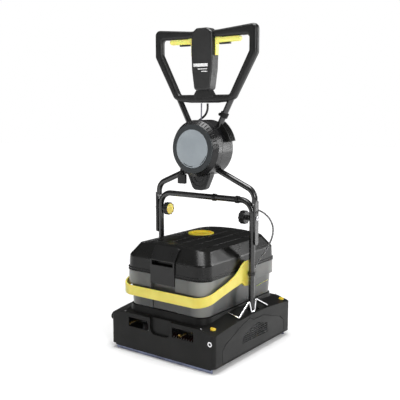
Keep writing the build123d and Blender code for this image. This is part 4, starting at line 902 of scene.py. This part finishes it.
def stage_floor():
    mesh = bpy.data.meshes.new("studio_floor")
    corners = [(x * FLOOR_HALF, y * FLOOR_HALF, 0)
               for x, y in ((-1, -1), (1, -1), (1, 1), (-1, 1))]
    mesh.from_pydata(corners, [], [(0, 1, 2, 3)])
    made = bpy.data.objects.new("studio_floor", mesh)
    bpy.context.scene.collection.objects.link(made)
    finish, tree, shader = new_finish("studio_floor_pale", roughness=0.7)
    tone = ramp(tree, speckle(tree, 0.8),
                [(0.3, (FLOOR_TONE,) * 3), (0.7, (FLOOR_TONE + 0.02,) * 3)])
    tree.links.new(tone, shader.inputs["Base Color"])
    tree.links.new(tone, shader.inputs["Emission Color"])
    place = node(tree, "TexCoord").outputs["Object"]
    away = node(tree, "VectorMath", {0: place}, operation="LENGTH")
    glow = between(tree, away.outputs["Value"], *FLOOR_GLOW, *GLOW_REACH)
    tree.links.new(glow, shader.inputs["Emission Strength"])
    mesh.materials.append(finish)
    made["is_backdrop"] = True


def studio_world():
    world = bpy.data.worlds.new("studio_world")
    world.use_nodes = True
    tree = world.node_tree
    direction = node(tree, "TexCoord").outputs["Generated"]
    height = node(tree, "SeparateXYZ", {"Vector": direction}).outputs["Z"]
    mirrored = ramp(tree, between(tree, height, 0.0, 1.0, 0.0, 1.0),
                    [(0.30, (WORLD_LOW,) * 3), (0.95, (WORLD_HIGH,) * 3)])
    seen = node(tree, "LightPath").outputs["Is Camera Ray"]
    tree.links.new(mixed(tree, seen, mirrored, (1.0, 1.0, 1.0)),
                   tree.nodes["Background"].inputs["Color"])
    bpy.context.scene.world = world
    bpy.context.scene.view_settings.view_transform = "Standard"


stage_floor()
studio_world()
print("floor", FLOOR_HALF * 2, "m across, world from", WORLD_LOW, "to", WORLD_HIGH)

# %% [markdown]
# Four soft area lamps shape the black plastic. A key at the front right lights the slanted
# corners of lid, tank and column, a rim at the rear right draws the reel's band and the tubes'
# edges, a wide one hangs above, and a weak one at the front left keeps that side readable.

# %% Lamps
def softbox(name, place, aim, width, height, watts):
    lamp = bpy.data.lights.new(name, "AREA")
    lamp.shape = "RECTANGLE"
    lamp.size = width
    lamp.size_y = height
    lamp.energy = watts
    made = bpy.data.objects.new(name, lamp)
    made.location = place
    made.rotation_euler = (Vector(aim) - Vector(place)).to_track_quat("-Z", "Y").to_euler()
    bpy.context.scene.collection.objects.link(made)


softbox("key_softbox", (2.45, -1.75, 1.55), (0, 0, 0.5), 0.55, 1.1, 34)
softbox("rim_softbox", (1.75, 2.1, 1.1), (0, 0, 0.55), 0.4, 1.8, 30)
softbox("top_softbox", (0.1, -0.2, 2.9), (0, 0, 0.4), 1.5, 1.5, 74)
softbox("front_left_softbox", (-1.7, -2.3, 1.3), (0, 0, 0.5), 0.4, 1.4, 3)

# %% Gather the sizes at the end
visual_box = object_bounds()
sizes = {"cad": [list(corner) for corner in cad_box],
         "visual": [list(corner) for corner in visual_box]}
print("visual box in metres:", [tuple(round(v, 3) for v in corner) for corner in visual_box])
